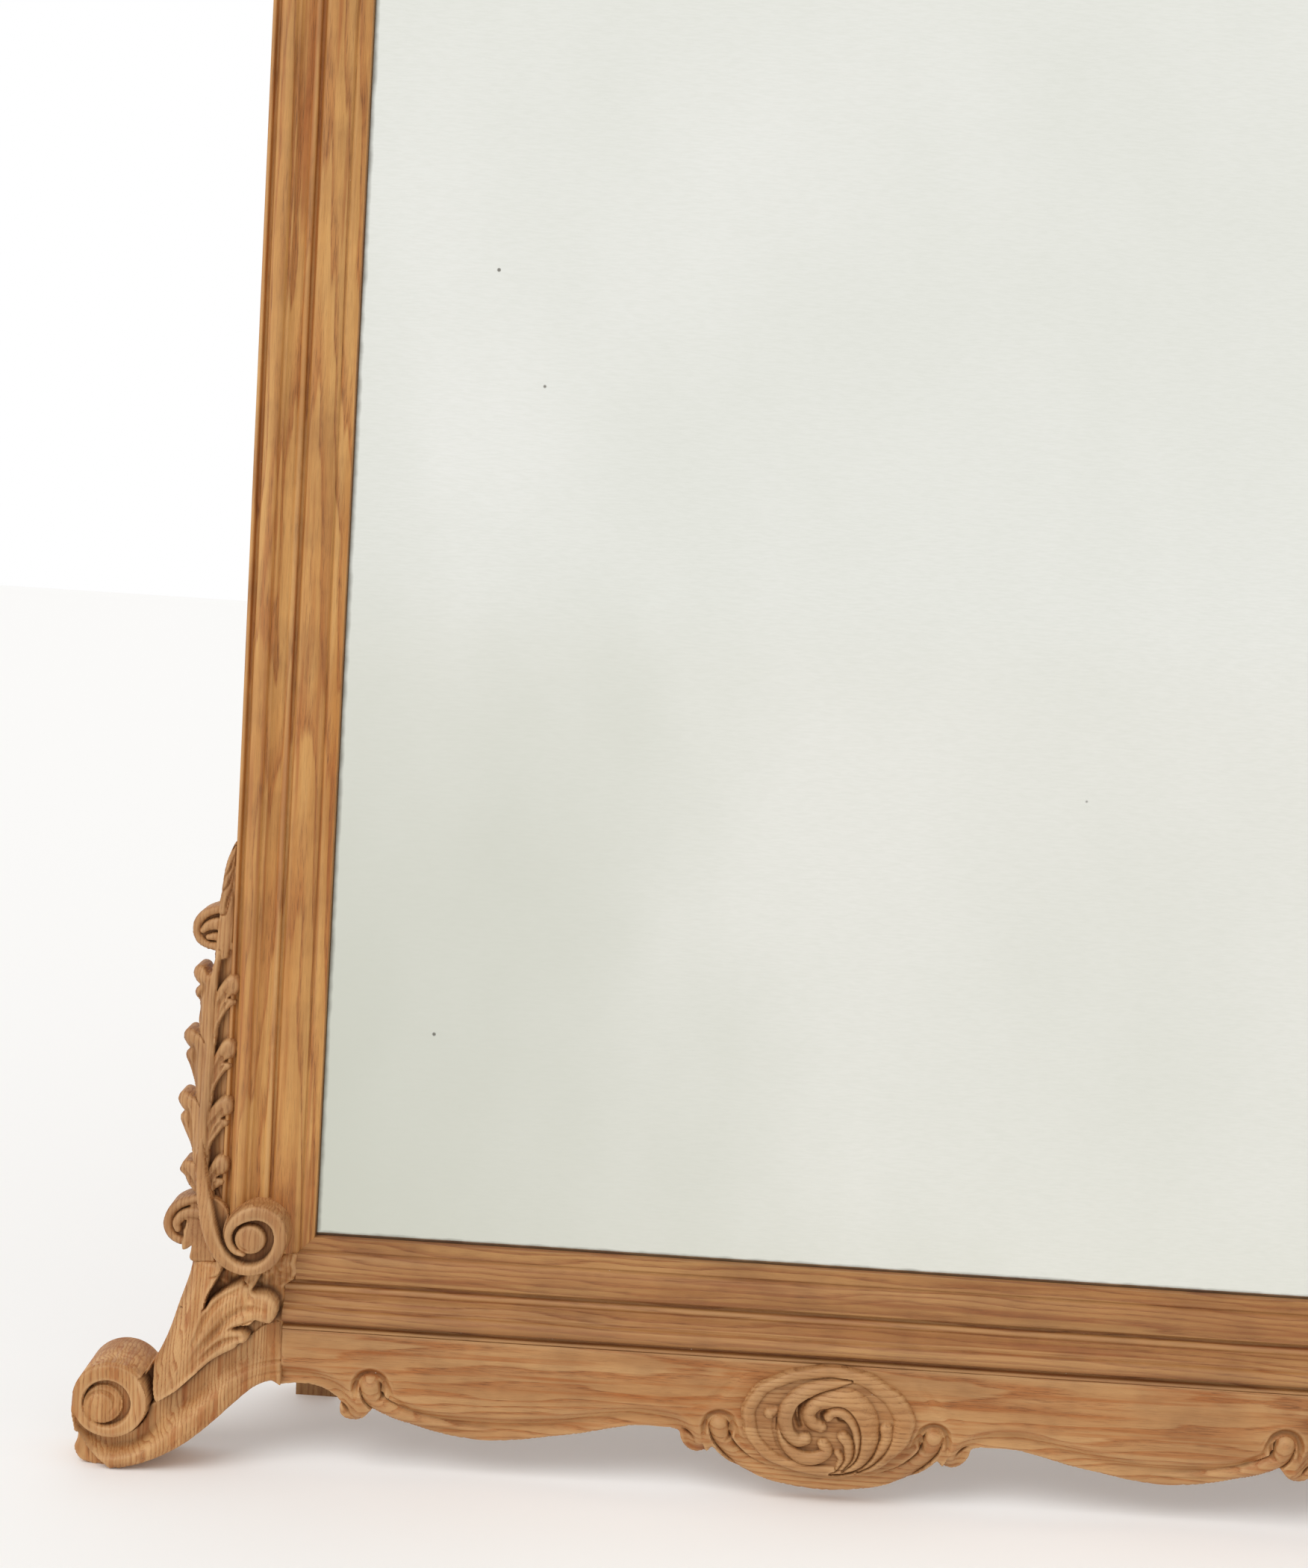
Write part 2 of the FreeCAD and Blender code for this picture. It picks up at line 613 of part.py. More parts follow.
def rear_rail():
    side = HALF_SIGHT + MOULDING_WIDTH - 6
    rail = box((-side, side), (FRAME_BACK, FRAME_BACK + REAR_RAIL_THICKNESS),
               (HINGE_HEIGHT, HINGE_HEIGHT + REAR_RAIL_HEIGHT))
    recesses = [leaf_plate(middle, HINGE_HEIGHT, 0.1) for middle in hinge_middles()]
    return drilled(rail, recesses + [knuckle_room(middle) for middle in hinge_middles()])


def rear_rail_screw_heads():
    back = FRAME_BACK + REAR_RAIL_THICKNESS
    return [V(x * (HALF_SIGHT + BUTTON_OUT - 4), back, HINGE_HEIGHT + REAR_RAIL_HEIGHT * share)
            for x in (-1, 1) for share in (0.25, 0.75)]


def rung(low, height, thickness):
    """A cross bar of the prop with a tenon at each end."""
    bar = prop_bar((-LEG_IN, LEG_IN), (low, low + height), thickness)
    quarter = height / 4
    front = FRAME_BACK + PROP_GAP
    tenon = box((-LEG_IN - RUNG_TENON, LEG_IN + RUNG_TENON), (front + 4, front + thickness - 4),
                (low + quarter, low + height - quarter))
    mortise = box((-LEG_IN - RUNG_TENON - JOINT_CLEARANCE, LEG_IN + RUNG_TENON + JOINT_CLEARANCE),
                  (front + 4 - JOINT_CLEARANCE, front + thickness - 4 + JOINT_CLEARANCE),
                  (low + quarter - JOINT_CLEARANCE, low + height - quarter + JOINT_CLEARANCE))
    return bar.fuse(tenon), mortise


def prop_pieces():
    """The prop's legs, cross bars and pegs, opened and trimmed."""
    top_low = HINGE_HEIGHT - PROP_RAIL_HEIGHT
    bars = {"prop_top_rail": rung(top_low, PROP_RAIL_HEIGHT, PROP_THICKNESS)}
    for name, low in zip(("prop_lower_rung", "prop_middle_rung"), RUNG_HEIGHTS):
        bars[name] = rung(low, RUNG_HEIGHT, RUNG_THICKNESS)
    leg = prop_bar((LEG_IN, LEG_IN + LEG_WIDTH), (-60, HINGE_HEIGHT + 10))
    legs = dict(zip(("prop_right_leg", "prop_left_leg"), both_sides(leg)))
    peg_lows = [top_low + PROP_RAIL_HEIGHT / 2] + [low + RUNG_HEIGHT / 2 for low in RUNG_HEIGHTS]
    out = LEG_IN + RUNG_TENON / 2

    def pegs(slack):
        start = FRAME_BACK + PROP_GAP - slack
        return [rod(PEG_RADIUS + slack, V(x, start, up), V(0, 1, 0), PROP_THICKNESS + 2 * slack)
                for up in peg_lows for x in (-out, out)]

    holes = pegs(PEG_CLEARANCE)
    pieces = {name: drilled(bar, holes) for name, (bar, _) in bars.items()}
    for name, shape in legs.items():
        pieces[name] = drilled(shape, holes + [mortise for _, mortise in bars.values()])
    pieces = {name: below_hinge(opened(shape)) for name, shape in pieces.items()}
    pieces["prop_pegs"] = [opened(peg) for peg in pegs(0)]
    recesses = [leaf_plate(middle, HINGE_HEIGHT - SHUT_GAP - HINGE_LEAF, 0.1)
                for middle in hinge_middles()]
    room = [knuckle_room(middle) for middle in hinge_middles()]
    pieces["prop_top_rail"] = drilled(pieces["prop_top_rail"], recesses + room)
    return pieces


# ------------------------------------------------------------------ turn buttons
def button_block():
    width, height = BUTTON_BLOCK
    out = HALF_SIGHT + BUTTON_OUT
    thickness = PROP_GAP + PROP_THICKNESS
    return box((out - width / 2, out + width / 2), (FRAME_BACK, FRAME_BACK + thickness),
               (BUTTON_HEIGHT - height / 2, BUTTON_HEIGHT + height / 2))


def turn_button():
    """The button that is turned across the folded prop, with its bore."""
    width, length, thickness = BUTTON_SIZE
    out = HALF_SIGHT + BUTTON_OUT
    low = BUTTON_HEIGHT - length / 2 + width / 2
    high = BUTTON_HEIGHT + length / 2 - width / 2
    outline = Outline((out + width / 2, low), front_view)
    outline.line((out + width / 2, high)).arc((out, high + width / 2), (out - width / 2, high))
    outline.line((out - width / 2, low)).arc((out, low - width / 2), (out + width / 2, low))
    front = FRAME_BACK + PROP_GAP + PROP_THICKNESS + BUTTON_LIFT
    bored = board(outline, -front, front + thickness)
    return bored.cut(rod(BUTTON_SCREW_RADIUS + RUNNING_CLEARANCE,
                         V(out, front - 1, BUTTON_HEIGHT), V(0, 1, 0), thickness + 2))


def button_screw(slack=0.0):
    """The round-headed screw that the button turns on."""
    _, _, thickness = BUTTON_SIZE
    out = HALF_SIGHT + BUTTON_OUT
    back = FRAME_BACK + PROP_GAP + PROP_THICKNESS + 2 * BUTTON_LIFT + thickness
    shank = rod(BUTTON_SCREW_RADIUS + slack, V(out, back, BUTTON_HEIGHT), V(0, -1, 0),
                thickness + PROP_THICKNESS + 12 + slack)
    head = Part.makeSphere(5, V(out, back - 1.6, BUTTON_HEIGHT)).common(
        box((0, FAR), (back, FAR), (0, FAR)))
    return shank.fuse(head)


# ------------------------------------------------------------------ the whole
def peg_set(slack):
    """The pegs through the stile and apron tenons, or their holes."""
    inner, outer, length, _ = TENON
    tenon_middle = V(HALF_SIGHT + (inner + MOULDING_WIDTH - outer) / 2, FRAME_BACK,
                     FLOOR_DROP - MITRE - length / 2)
    apron_middle = V(HALF_SIGHT + SEAM_OUT + APRON_TENON[0] / 2, FRAME_BACK,
                     sum(apron_tenon_heights()) / 2)
    depth = FRAME_BACK + TENON[3] + 4 + slack
    pegs = []
    for middle in (tenon_middle, apron_middle):
        pegs += both_sides(rod(PEG_RADIUS + slack, middle, V(0, -1, 0), depth))
    return pegs


def bracket_screw_heads():
    """Screws through each bracket's stem into the stile's outer face."""
    return [beside_stile(STEM_WIDTH - 4, up) + V(0, 2, 0) for up in BRACKET_SCREWS_UP]


def build():
    key, key_slot = corner_key()
    stile = right_stile().cut(key_slot)
    foot = right_foot()
    bracket = right_bracket()
    volute = right_stile_volute([stile, foot, bracket])
    top = top_rail().cut(key_slot).cut(mirrored(key_slot))
    rail, skirt, boards = bottom_rail(), apron(), back_boards()
    back, forward = V(0, -1, 0), V(0, 1, 0)

    peg_holes = peg_set(PEG_CLEARANCE)
    board_holes = screws(board_screw_heads(), back, 15, SCREW_CLEARANCE)
    rear_holes = screws(rear_rail_screw_heads(), back, REAR_RAIL_THICKNESS + 18, SCREW_CLEARANCE)
    turn_hole = button_screw(RUNNING_CLEARANCE)
    bracket_holes = screws(bracket_screw_heads(), V(-1, 0, 0), 30, SCREW_CLEARANCE)
    head_wells = [rod(SCREW_HEAD_RADIUS + 0.5, head, V(1, 0, 0), 40) for head in bracket_screw_heads()]

    stile = drilled(stile, peg_holes + board_holes + rear_holes + [turn_hole] + bracket_holes)
    foot = drilled(foot, peg_holes)
    bracket = drilled(bracket, bracket_holes + head_wells)
    nodes = {"top_rail": top, "bottom_rail": rail, "apron": drilled(skirt, peg_holes)}
    for name, shape in (("stile", stile), ("foot", foot), ("leaf_bracket", bracket),
                        ("stile_volute", volute), ("corner_key", key)):
        nodes[f"right_{name}"], nodes[f"left_{name}"] = both_sides(shape)
    nodes["apron_rosette"] = ellipse_board(ROSETTE_RADII, ROSETTE_UP, ROSETTE_FRONT, APRON_FRONT).cut(rail)
    nodes["crest_board"] = crest_board()
    nodes["crest_ornament"] = ellipse_board(CREST_ORNAMENT_RADII, FRAME_TOP + CREST_ORNAMENT_UP,
                                            CREST_ORNAMENT_FRONT, CREST_FRONT)
    nodes["frame_pegs"] = peg_set(0)
    nodes["bracket_screws"] = [one for head in bracket_screw_heads()
                               for one in both_sides(screw(head, V(-1, 0, 0), 30))]

    nodes["mirror_plate"] = plate()
    nodes["plate_blocks"] = plate_blocks()
    for row, shape in enumerate(boards):
        nodes[f"back_board_{row + 1}"] = drilled(shape, board_holes)
    nodes["back_board_screws"] = screws(board_screw_heads(), back, 15)

    leaf_holes = screws(hinge_screw_heads(HINGE_HEIGHT), V(0, 0, 1), 20, SCREW_CLEARANCE)
    prop_holes = screws(hinge_screw_heads(HINGE_HEIGHT - SHUT_GAP), V(0, 0, -1), 20, SCREW_CLEARANCE)
    nodes["rear_rail"] = drilled(rear_rail(), rear_holes + leaf_holes)
    nodes["rear_rail_screws"] = screws(rear_rail_screw_heads(), back, REAR_RAIL_THICKNESS + 18)
    nodes.update(prop_pieces())
    nodes["prop_top_rail"] = drilled(nodes["prop_top_rail"], prop_holes)
    for side, middle in zip(("left", "right"), hinge_middles()):
        fixed, moving, pin = hinge(middle)
        nodes[f"{side}_hinge_fixed_leaf"] = drilled(fixed, leaf_holes)
        nodes[f"{side}_hinge_moving_leaf"] = drilled(moving, prop_holes)
        nodes[f"{side}_hinge_pin"] = pin
    nodes["hinge_upper_screws"] = screws(hinge_screw_heads(HINGE_HEIGHT), V(0, 0, 1), 20)
    nodes["hinge_lower_screws"] = screws(hinge_screw_heads(HINGE_HEIGHT - SHUT_GAP), V(0, 0, -1), 20)

    block = button_block().cut(turn_hole)
    for name, shape in (("button_block", block), ("turn_button", turn_button()),
                        ("button_screw", button_screw())):
        nodes[f"right_{name}"], nodes[f"left_{name}"] = both_sides(shape)
    return nodes


def whole_depth():
    """How far the pieces reach in front of the lip and behind it."""
    turn = math.radians(PROP_ANGLE)
    height = HINGE_HEIGHT - SHUT_GAP / 2
    heel = (PROP_GAP + PROP_THICKNESS) / math.cos(turn) + height * math.tan(turn)
    return VOLUTE_FRONT, AXIS_Y + heel


def main():
    os.makedirs("parts", exist_ok=True)
    front, back = whole_depth()
    to_origin = V(0, (front - back) / 2, 0)
    for name, shape in build().items():
        solids = Part.makeCompound(shape) if isinstance(shape, list) else shape
        solids = solids.copy()
        solids.translate(to_origin)
        solids.exportStep(f"parts/{name}.step")
        print(name, len(solids.Solids), solids.isValid(), round(solids.Volume / 1000, 1))


main()
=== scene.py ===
"""The floor mirror's looks: a moulded oak frame on scroll feet, an old plate and a folding prop.

Sizes are in millimetres until a mesh is made. Carvings are measured outwards from the sight edge,
upwards from the floor, and forwards from the lip that the plate bears on.
"""
import logging
import math
from dataclasses import dataclass, field
from enum import Enum
from functools import partial
from typing import Callable, Iterable, Sequence

import bmesh
import bpy
import numpy as np
from mathutils import Matrix, Vector


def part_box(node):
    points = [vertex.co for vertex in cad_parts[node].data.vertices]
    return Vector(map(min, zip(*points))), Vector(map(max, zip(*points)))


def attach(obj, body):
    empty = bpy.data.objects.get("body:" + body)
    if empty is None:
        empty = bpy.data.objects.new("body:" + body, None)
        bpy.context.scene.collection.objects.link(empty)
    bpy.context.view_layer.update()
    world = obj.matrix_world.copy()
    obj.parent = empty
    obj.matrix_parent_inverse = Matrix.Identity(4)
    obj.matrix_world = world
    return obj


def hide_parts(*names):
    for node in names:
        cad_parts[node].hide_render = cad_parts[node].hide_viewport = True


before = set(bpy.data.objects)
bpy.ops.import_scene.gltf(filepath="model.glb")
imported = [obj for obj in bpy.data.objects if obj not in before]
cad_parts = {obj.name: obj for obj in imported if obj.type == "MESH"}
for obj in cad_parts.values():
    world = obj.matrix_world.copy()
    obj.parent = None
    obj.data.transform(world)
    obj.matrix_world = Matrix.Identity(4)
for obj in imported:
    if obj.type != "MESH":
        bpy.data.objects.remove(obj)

log = logging.getLogger("floor_mirror")

MM = 0.001
Field = np.ndarray
Points = Sequence[Sequence[float]]
Place = Callable[[Field, Field, Field], Field]
SIDES = ((-1, "left"), (1, "right"))


# ---------------------------------------------------------------- sizes read from the frame
@dataclass(frozen=True)
class Opening:
    """The sight of the frame and the lip's plane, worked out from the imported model, in mm."""

    half_sight: float
    foot: float
    top: float
    moulding: float
    lip: float

    @classmethod
    def from_frame(cls) -> "Opening":
        """Reads the plate, which reaches 8 mm behind the lip, and the stile, for the frame's edge."""
        bite, gap = 8.0, 0.3
        low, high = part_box("mirror_plate")
        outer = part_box("right_stile")[1].x / MM
        half = high.x / MM - bite
        return cls(half, low.z / MM + bite, high.z / MM - bite, outer - half, low.y / MM - gap)

    def beside(self, side: int) -> Place:
        """A placing for carvings measured outwards from the sight edge on one side.

        Args:
            side: -1 for the left and 1 for the right.

        Returns:
            A function from outward distance, height and rise to places in metres.
        """
        return lambda out, up, rise: np.stack(
            [side * (self.half_sight + out), self.lip - rise, up], axis=-1) * MM

    def across(self) -> Place:
        """A placing for carvings measured from the middle of the frame."""
        return lambda x, up, rise: np.stack([x, self.lip - rise, up], axis=-1) * MM


# ---------------------------------------------------------------- lines and carved sheets
def flowing(points: Points, closed: bool = False, count: int = 8) -> Field:
    """Draws a smooth line through points.

    Args:
        points: Places, each with any further values that vary along the line.
        closed: True if the line returns to its start.
        count: How many stretches stand for the way between two points.

    Returns:
        The line's points with their values, one to a row.
    """
    knots = np.array(points, float)
    if closed:
        knots = np.vstack([knots[-1:], knots, knots[:2]])
    else:
        knots = np.vstack([2 * knots[0] - knots[1], knots, 2 * knots[-1] - knots[-2]])
    rows = []
    for a, b, c, d in zip(knots[:-3], knots[1:-2], knots[2:-1], knots[3:]):
        for t in np.linspace(0, 1, count, endpoint=False):
            rows.append(0.5 * (2 * b + (c - a) * t + (2 * a - 5 * b + 4 * c - d) * t * t
                               + (3 * b - a - 3 * c + d) * t ** 3))
    rows.append(knots[-2])
    return np.array(rows)


def eased(low: float, high: float, value: Field) -> Field:
    """Goes smoothly from 0 at `low` to 1 at `high`."""
    t = np.clip((value - low) / (high - low), 0, 1)
    return t * t * (3 - 2 * t)


def spread(sheet: Field, kernel: Field) -> Field:
    """Adds up each point's neighbours both ways, on a sheet that is larger than the kernel."""
    for axis in (0, 1):
        if min(sheet.shape) >= len(kernel):
            sheet = np.apply_along_axis(np.convolve, axis, sheet, kernel, "same")
    return sheet


def blurred(values: Field, weights: Field, radius: float) -> Field:
    """Averages a sheet over a soft round neighbourhood, counting only where `weights` is set.

    Args:
        values: The sheet.
        weights: 1 where the sheet counts and 0 elsewhere.
        radius: The neighbourhood's radius in grid steps.

    Returns:
        The averaged sheet.
    """
    reach = int(3 * radius) + 1
    kernel = np.exp(-0.5 * (np.arange(-reach, reach + 1) / radius) ** 2)
    return spread(values * weights, kernel) / np.maximum(spread(weights, kernel), 1e-6)


def uneven(seed: int, shape: tuple[int, ...], size: float) -> Field:
    """Soft lumps about `size` grid steps wide, in a number's own pattern."""
    noise = np.random.default_rng(seed).standard_normal(shape)
    return blurred(noise, np.ones_like(noise), size)


def rounded(inside: Field, radius: float) -> Field:
    """How far a quarter-round edge falls, from nothing to `radius` at the outline."""
    depth = np.clip(inside, 0, radius)
    return radius - np.sqrt(np.maximum(radius ** 2 - (radius - depth) ** 2, 0))


def domed(inside: Field, radius: float) -> Field:
    """A half-round boss of a radius, 1 at its middle and 0 at its rim."""
    return np.sqrt(np.maximum(1 - np.clip(1 - inside / radius, 0, 1) ** 2, 0))


def knob(face: "Relief", centre: Sequence[float], radii: Sequence[float]) -> Field:
    """A soft oval swelling, 1 at its middle and 0 outside it."""
    (across, up), (a, b) = centre, radii
    return np.clip(1 - ((face.across - across) / a) ** 2 - ((face.up - up) / b) ** 2, 0, 1)


def serpentine(runs: Sequence[Points], end: tuple[float, float]) -> list[tuple[float, float]]:
    """A symmetrical edge from end to end, smooth along each run and notched between them.

    Args:
        runs: The right half's runs, from the middle outwards.
        end: The right half's last place.

    Returns:
        The edge's places from the left end to the right.
    """
    right = [tuple(p) for run in runs for p in flowing(run)[:-1]] + [end]
    return [(-x, z) for x, z in reversed(right)] + right[1:]


@dataclass
class Stroke:
    """Where a sheet's points lie beside a line that has a half width and a top."""

    distance: Field
    side: Field
    width: Field
    top: Field

    @property
    def inside(self) -> Field:
        """How deep each point lies within the stroke."""
        return self.width - self.distance

    @property
    def share(self) -> Field:
        """0 on the line and 1 from the stroke's edge outwards."""
        return np.clip(self.distance / np.maximum(self.width, 1e-3), 0, 1)

    @property
    def crown(self) -> Field:
        """1 on the line, falling in a soft half round to 0 at the stroke's edge."""
        return 0.5 * np.sqrt(1 - self.share ** 2) + 0.5 * (1 - self.share ** 2)


class Relief:
    """A carved face, held as how far it stands forward over a sheet of points."""

    def __init__(self, across: Field, up: Field, ground: float) -> None:
        """Starts a flat face.

        Args:
            across: The sheet's places across, in rising order.
            up: The sheet's heights, in rising order.
            ground: How far the face stands forward before it is carved.
        """
        self.x, self.z, self.ground = across, up, ground
        self.across, self.up = np.meshgrid(across, up, indexing="ij")
        self.height = np.full(self.across.shape, float(ground))
        self.inside = np.full(self.across.shape, -50.0)
        self.carved = self.height

    def _window(self, low: Field, high: Field) -> tuple[slice, slice]:
        """The part of the sheet between two corners."""
        return (slice(*np.searchsorted(self.x, (low[0], high[0]))),
                slice(*np.searchsorted(self.z, (low[1], high[1]))))

    def beside(self, line: Field, reach: float) -> tuple[Field, Field, Field]:
        """Finds each point's distance from a line.

        Args:
            line: The line's points with two values each, the half width and the top.
            reach: How far from the line the points count.

        Returns:
            The distance, the side of the line, and the two values at the nearest place.
        """
        distance = np.full(self.across.shape, float(reach) ** 2)
        side = np.ones(self.across.shape)
        values = np.zeros(self.across.shape + (line.shape[1] - 2,))
        for a, b in zip(line[:-1], line[1:]):
            run = b[:2] - a[:2]
            length = float(run @ run)
            if length < 1e-12:
                continue
            part = self._window(np.minimum(a, b)[:2] - reach, np.maximum(a, b)[:2] + reach)
            dx, dz = self.across[part] - a[0], self.up[part] - a[1]
            share = np.clip((dx * run[0] + dz * run[1]) / length, 0, 1)
            gap = (dx - share * run[0]) ** 2 + (dz - share * run[1]) ** 2
            nearer = gap < distance[part]
            distance[part] = np.where(nearer, gap, distance[part])
            side[part] = np.where(nearer, np.sign(run[0] * dz - run[1] * dx), side[part])
            between = a[2:] + share[..., None] * (b[2:] - a[2:])
            values[part] = np.where(nearer[..., None], between, values[part])
        return np.sqrt(distance), side, values

    def stroke(self, points: Points) -> Stroke:
        """Draws a stroke.

        Args:
            points: Places across and up, each with the stroke's half width and its top.

        Returns:
            Where the sheet lies beside the stroke.
        """
        line = flowing(points)
        distance, side, values = self.beside(line, float(line[:, 2].max()) + 3)
        return Stroke(distance, side, values[..., 0], values[..., 1])

    def border(self, points: Points, reach: float) -> Field:
        """Measures how far each point lies to the left of a line.

        Args:
            points: The line's places, in the direction in which it is followed.
            reach: The largest distance that is told apart.

        Returns:
            The distance, negative to the right of the line.
        """
        distance, side, _ = self.beside(flowing(points), reach)
        return np.where(side > 0, distance, -distance)

    def within(self, outline: Points, smooth: bool = True, reach: float = 12) -> Field:
        """Measures how deep each point lies within a closed outline.

        Args:
            outline: The outline's places.
            smooth: False for an outline that is already drawn point by point.
            reach: The largest depth that is told apart.

        Returns:
            The depth, negative outside the outline.
        """
        line = flowing(outline, closed=True) if smooth else np.array([*outline, outline[0]], float)
        distance, _, _ = self.beside(line, reach)
        filled = np.zeros(self.across.shape, bool)
        for row, level in enumerate(self.z):
            starts, ends = line[:-1], line[1:]
            crossing = (starts[:, 1] > level) != (ends[:, 1] > level)
            a, b = starts[crossing], ends[crossing]
            run, climb = b[:, 0] - a[:, 0], b[:, 1] - a[:, 1]
            places = np.sort(a[:, 0] + (level - a[:, 1]) * run / climb)
            filled[:, row] = np.searchsorted(places, self.x) % 2 == 1
        return np.where(filled, distance, -distance)

    def disc(self, centre: Sequence[float], radii: Sequence[float]) -> Field:
        """Measures how deep each point lies within an oval."""
        a, b = radii
        span = np.hypot((self.across - centre[0]) / a, (self.up - centre[1]) / b)
        return (1 - span) * min(a, b)

    def cover(self, inside: Field) -> None:
        """Adds a shape to the carving's outline."""
        self.inside = np.maximum(self.inside, inside)

    def trim(self, inside: Field) -> None:
        """Keeps only what lies within a shape."""
        self.inside = np.minimum(self.inside, inside)

    def lay(self, inside: Field, height: Field, soft: float = 0.8) -> None:
        """Gives the face a new height within a shape, with an edge `soft` wide."""
        self.height += eased(-soft / 2, soft / 2, inside) * (height - self.height)

    def raise_to(self, inside: Field, height: Field, soft: float = 0.8) -> None:
        """Raises the face within a shape and never lowers it."""
        self.lay(inside, np.maximum(height, self.height), soft)

    def cut_to(self, inside: Field, height: Field, soft: float = 0.8) -> None:
        """Lowers the face within a shape and never raises it."""
        self.lay(inside, np.minimum(height, self.height), soft)

    def roll(self, points: Points, drop: float = 3.0, soft: float = 0.8) -> None:
        """Lays a half-round strand whose edges lie `drop` behind its top."""
        line = self.stroke(points)
        self.lay(line.inside, line.top - drop * (1 - line.crown), soft)

    def gouge(self, points: Points) -> None:
        """Cuts a round-bottomed groove, whose depth is given in place of a top."""
        line = self.stroke(points)
        self.height -= line.top * (0.5 + 0.5 * np.cos(math.pi * line.share)) * (line.share < 1)

    def fillet(self, radius: float) -> None:
        """Rounds the face over where it meets its outline."""
        self.carved = self.height.copy()
        self.height -= rounded(self.inside, radius)

    def handwork(self, seed: int, amount: float = 0.18, size: float = 7.0) -> None:
        """Adds the slight unevenness of a face cut by hand.

        Args:
            seed: The pattern's own number.
            amount: The usual height of the unevenness.
            size: Its spread in grid steps.
        """
        smooth = uneven(seed, self.height.shape, size)
        self.height += amount * smooth / max(float(smooth.std()), 1e-6)

    def overhang(self) -> None:
        """Carries the face a little way outside its outline, so that its rim keeps its height."""
        there = (self.inside > 0).astype(float)
        outside = there == 0
        for sheet in (self.height, self.carved):
            sheet[outside] = blurred(sheet, there, 0.8)[outside]

    def wear_and_shade(self) -> tuple[Field, Field]:
        """Tells hollows, which take dirt and painted shade, from edges that hands have rubbed, each
        from 0 to 1.
        """
        step = float(np.median(np.diff(self.x)))
        there = (self.inside > 0).astype(float)
        wide, near = (blurred(self.carved, there, reach / step) - self.carved
                      for reach in (5.0, 1.6))  # mm
        # hollow: where dirt and painted shade go, deepest in the creases and recesses
        hollow = np.clip(wide / 13 + near / 7 - 0.05, 0, 0.8) * eased(0.0, 2.6, self.inside)
        rim = 0.5 * eased(3.5, 0.4, self.inside)
        ridge = np.clip(-near / 1.2 - wide / 12 + rim * (hollow < 0.1), 0, 1)
        return hollow, ridge

    def build(self, name: str, place: Place, back: float) -> bpy.types.Object:
        """Makes the carving's mesh: the face, the walls behind its outline and a flat back.

        Args:
            name: The piece's name.
            place: Where the sheet lies.
            back: How far the flat back lies behind the lip.

        Returns:
            The new object.
        """
        self.overhang()
        hollow, ridge = self.wear_and_shade()
        inside = self.inside
        cell = (inside[:-1, :-1] + inside[1:, :-1] + inside[:-1, 1:] + inside[1:, 1:]) > 0
        ringed = np.pad(cell, 1)
        around = np.stack([ringed[:-1, :-1], ringed[1:, :-1], ringed[:-1, 1:], ringed[1:, 1:]])
        used, rim = around.any(0), around.any(0) & ~around.all(0)
        slope_x, slope_z = np.gradient(inside, self.x, self.z)
        steep = np.maximum(np.hypot(slope_x, slope_z), 0.3)
        shift = np.where(rim, np.clip(inside, -1.2, 1.2) / steep, 0)
        across = self.across - shift * slope_x / steep
        up = self.up - shift * slope_z / steep
        number = np.full(used.shape, -1)
        number[used] = np.arange(used.sum())
        front = place(across[used], up[used], self.height[used])
        rear_number = np.full(used.shape, -1)
        rear_number[rim] = used.sum() + np.arange(rim.sum())
        rear = place(across[rim], up[rim], np.full(int(rim.sum()), -back))
        i, j = np.nonzero(cell)
        quads = np.stack([number[i, j], number[i + 1, j], number[i + 1, j + 1],
                          number[i, j + 1]], 1)
        walls = []
        for (di, dj), (p, q) in {(-1, 0): ((0, 1), (0, 0)), (1, 0): ((1, 0), (1, 1)),
                                 (0, -1): ((0, 0), (1, 0)), (0, 1): ((1, 1), (0, 1))}.items():
            edge = cell & ~ringed[1 + di:ringed.shape[0] - 1 + di, 1 + dj:ringed.shape[1] - 1 + dj]
            i, j = np.nonzero(edge)
            first, second = (i + p[0], j + p[1]), (i + q[0], j + q[1])
            walls.append(np.stack([number[second], number[first], rear_number[first],
                                   rear_number[second]], 1))
        walls = np.vstack(walls)
        mesh = bpy.data.meshes.new(name)
        mesh.from_pydata(np.vstack([front, rear]).tolist(), [], np.vstack([quads, walls]).tolist())
        # dirt and painted shade in the hollows, and rubbed edges; the walls' back rim keeps 0.4 of
        # each
        mark_wear_and_shade(mesh, *(np.concatenate([sheet[used], sheet[rim] * 0.4])
                          for sheet in (hollow, ridge)))
        close_back(mesh, int(used.sum()))
        return as_piece(name, mesh)


def mark_wear_and_shade(mesh: bpy.types.Mesh, hollow: Field, ridge: Field) -> None:
    """Keeps on a mesh how dirty and darkened with painted shade, and how rubbed, each of its points
    is.
    """
    for label, values in (("hollow", hollow), ("ridge", ridge)):
        layer = mesh.attributes.new(label, "FLOAT", "POINT")
        layer.data.foreach_set("value", values.astype(np.float32))


def close_back(mesh: bpy.types.Mesh, first_rear: int) -> None:
    """Fills the open back of a carving's mesh and turns its faces outwards.

    Args:
        mesh: The mesh.
        first_rear: The number of the first vertex on the back's rim.
    """
    sheet = bmesh.new()
    sheet.from_mesh(mesh)
    sheet.verts.ensure_lookup_table()
    rim = [edge for edge in sheet.edges
           if edge.is_boundary and min(v.index for v in edge.verts) >= first_rear]
    bmesh.ops.triangle_fill(sheet, use_beauty=False, use_dissolve=False, edges=rim)
    bmesh.ops.recalc_face_normals(sheet, faces=sheet.faces)
    sheet.to_mesh(mesh)
    sheet.free()


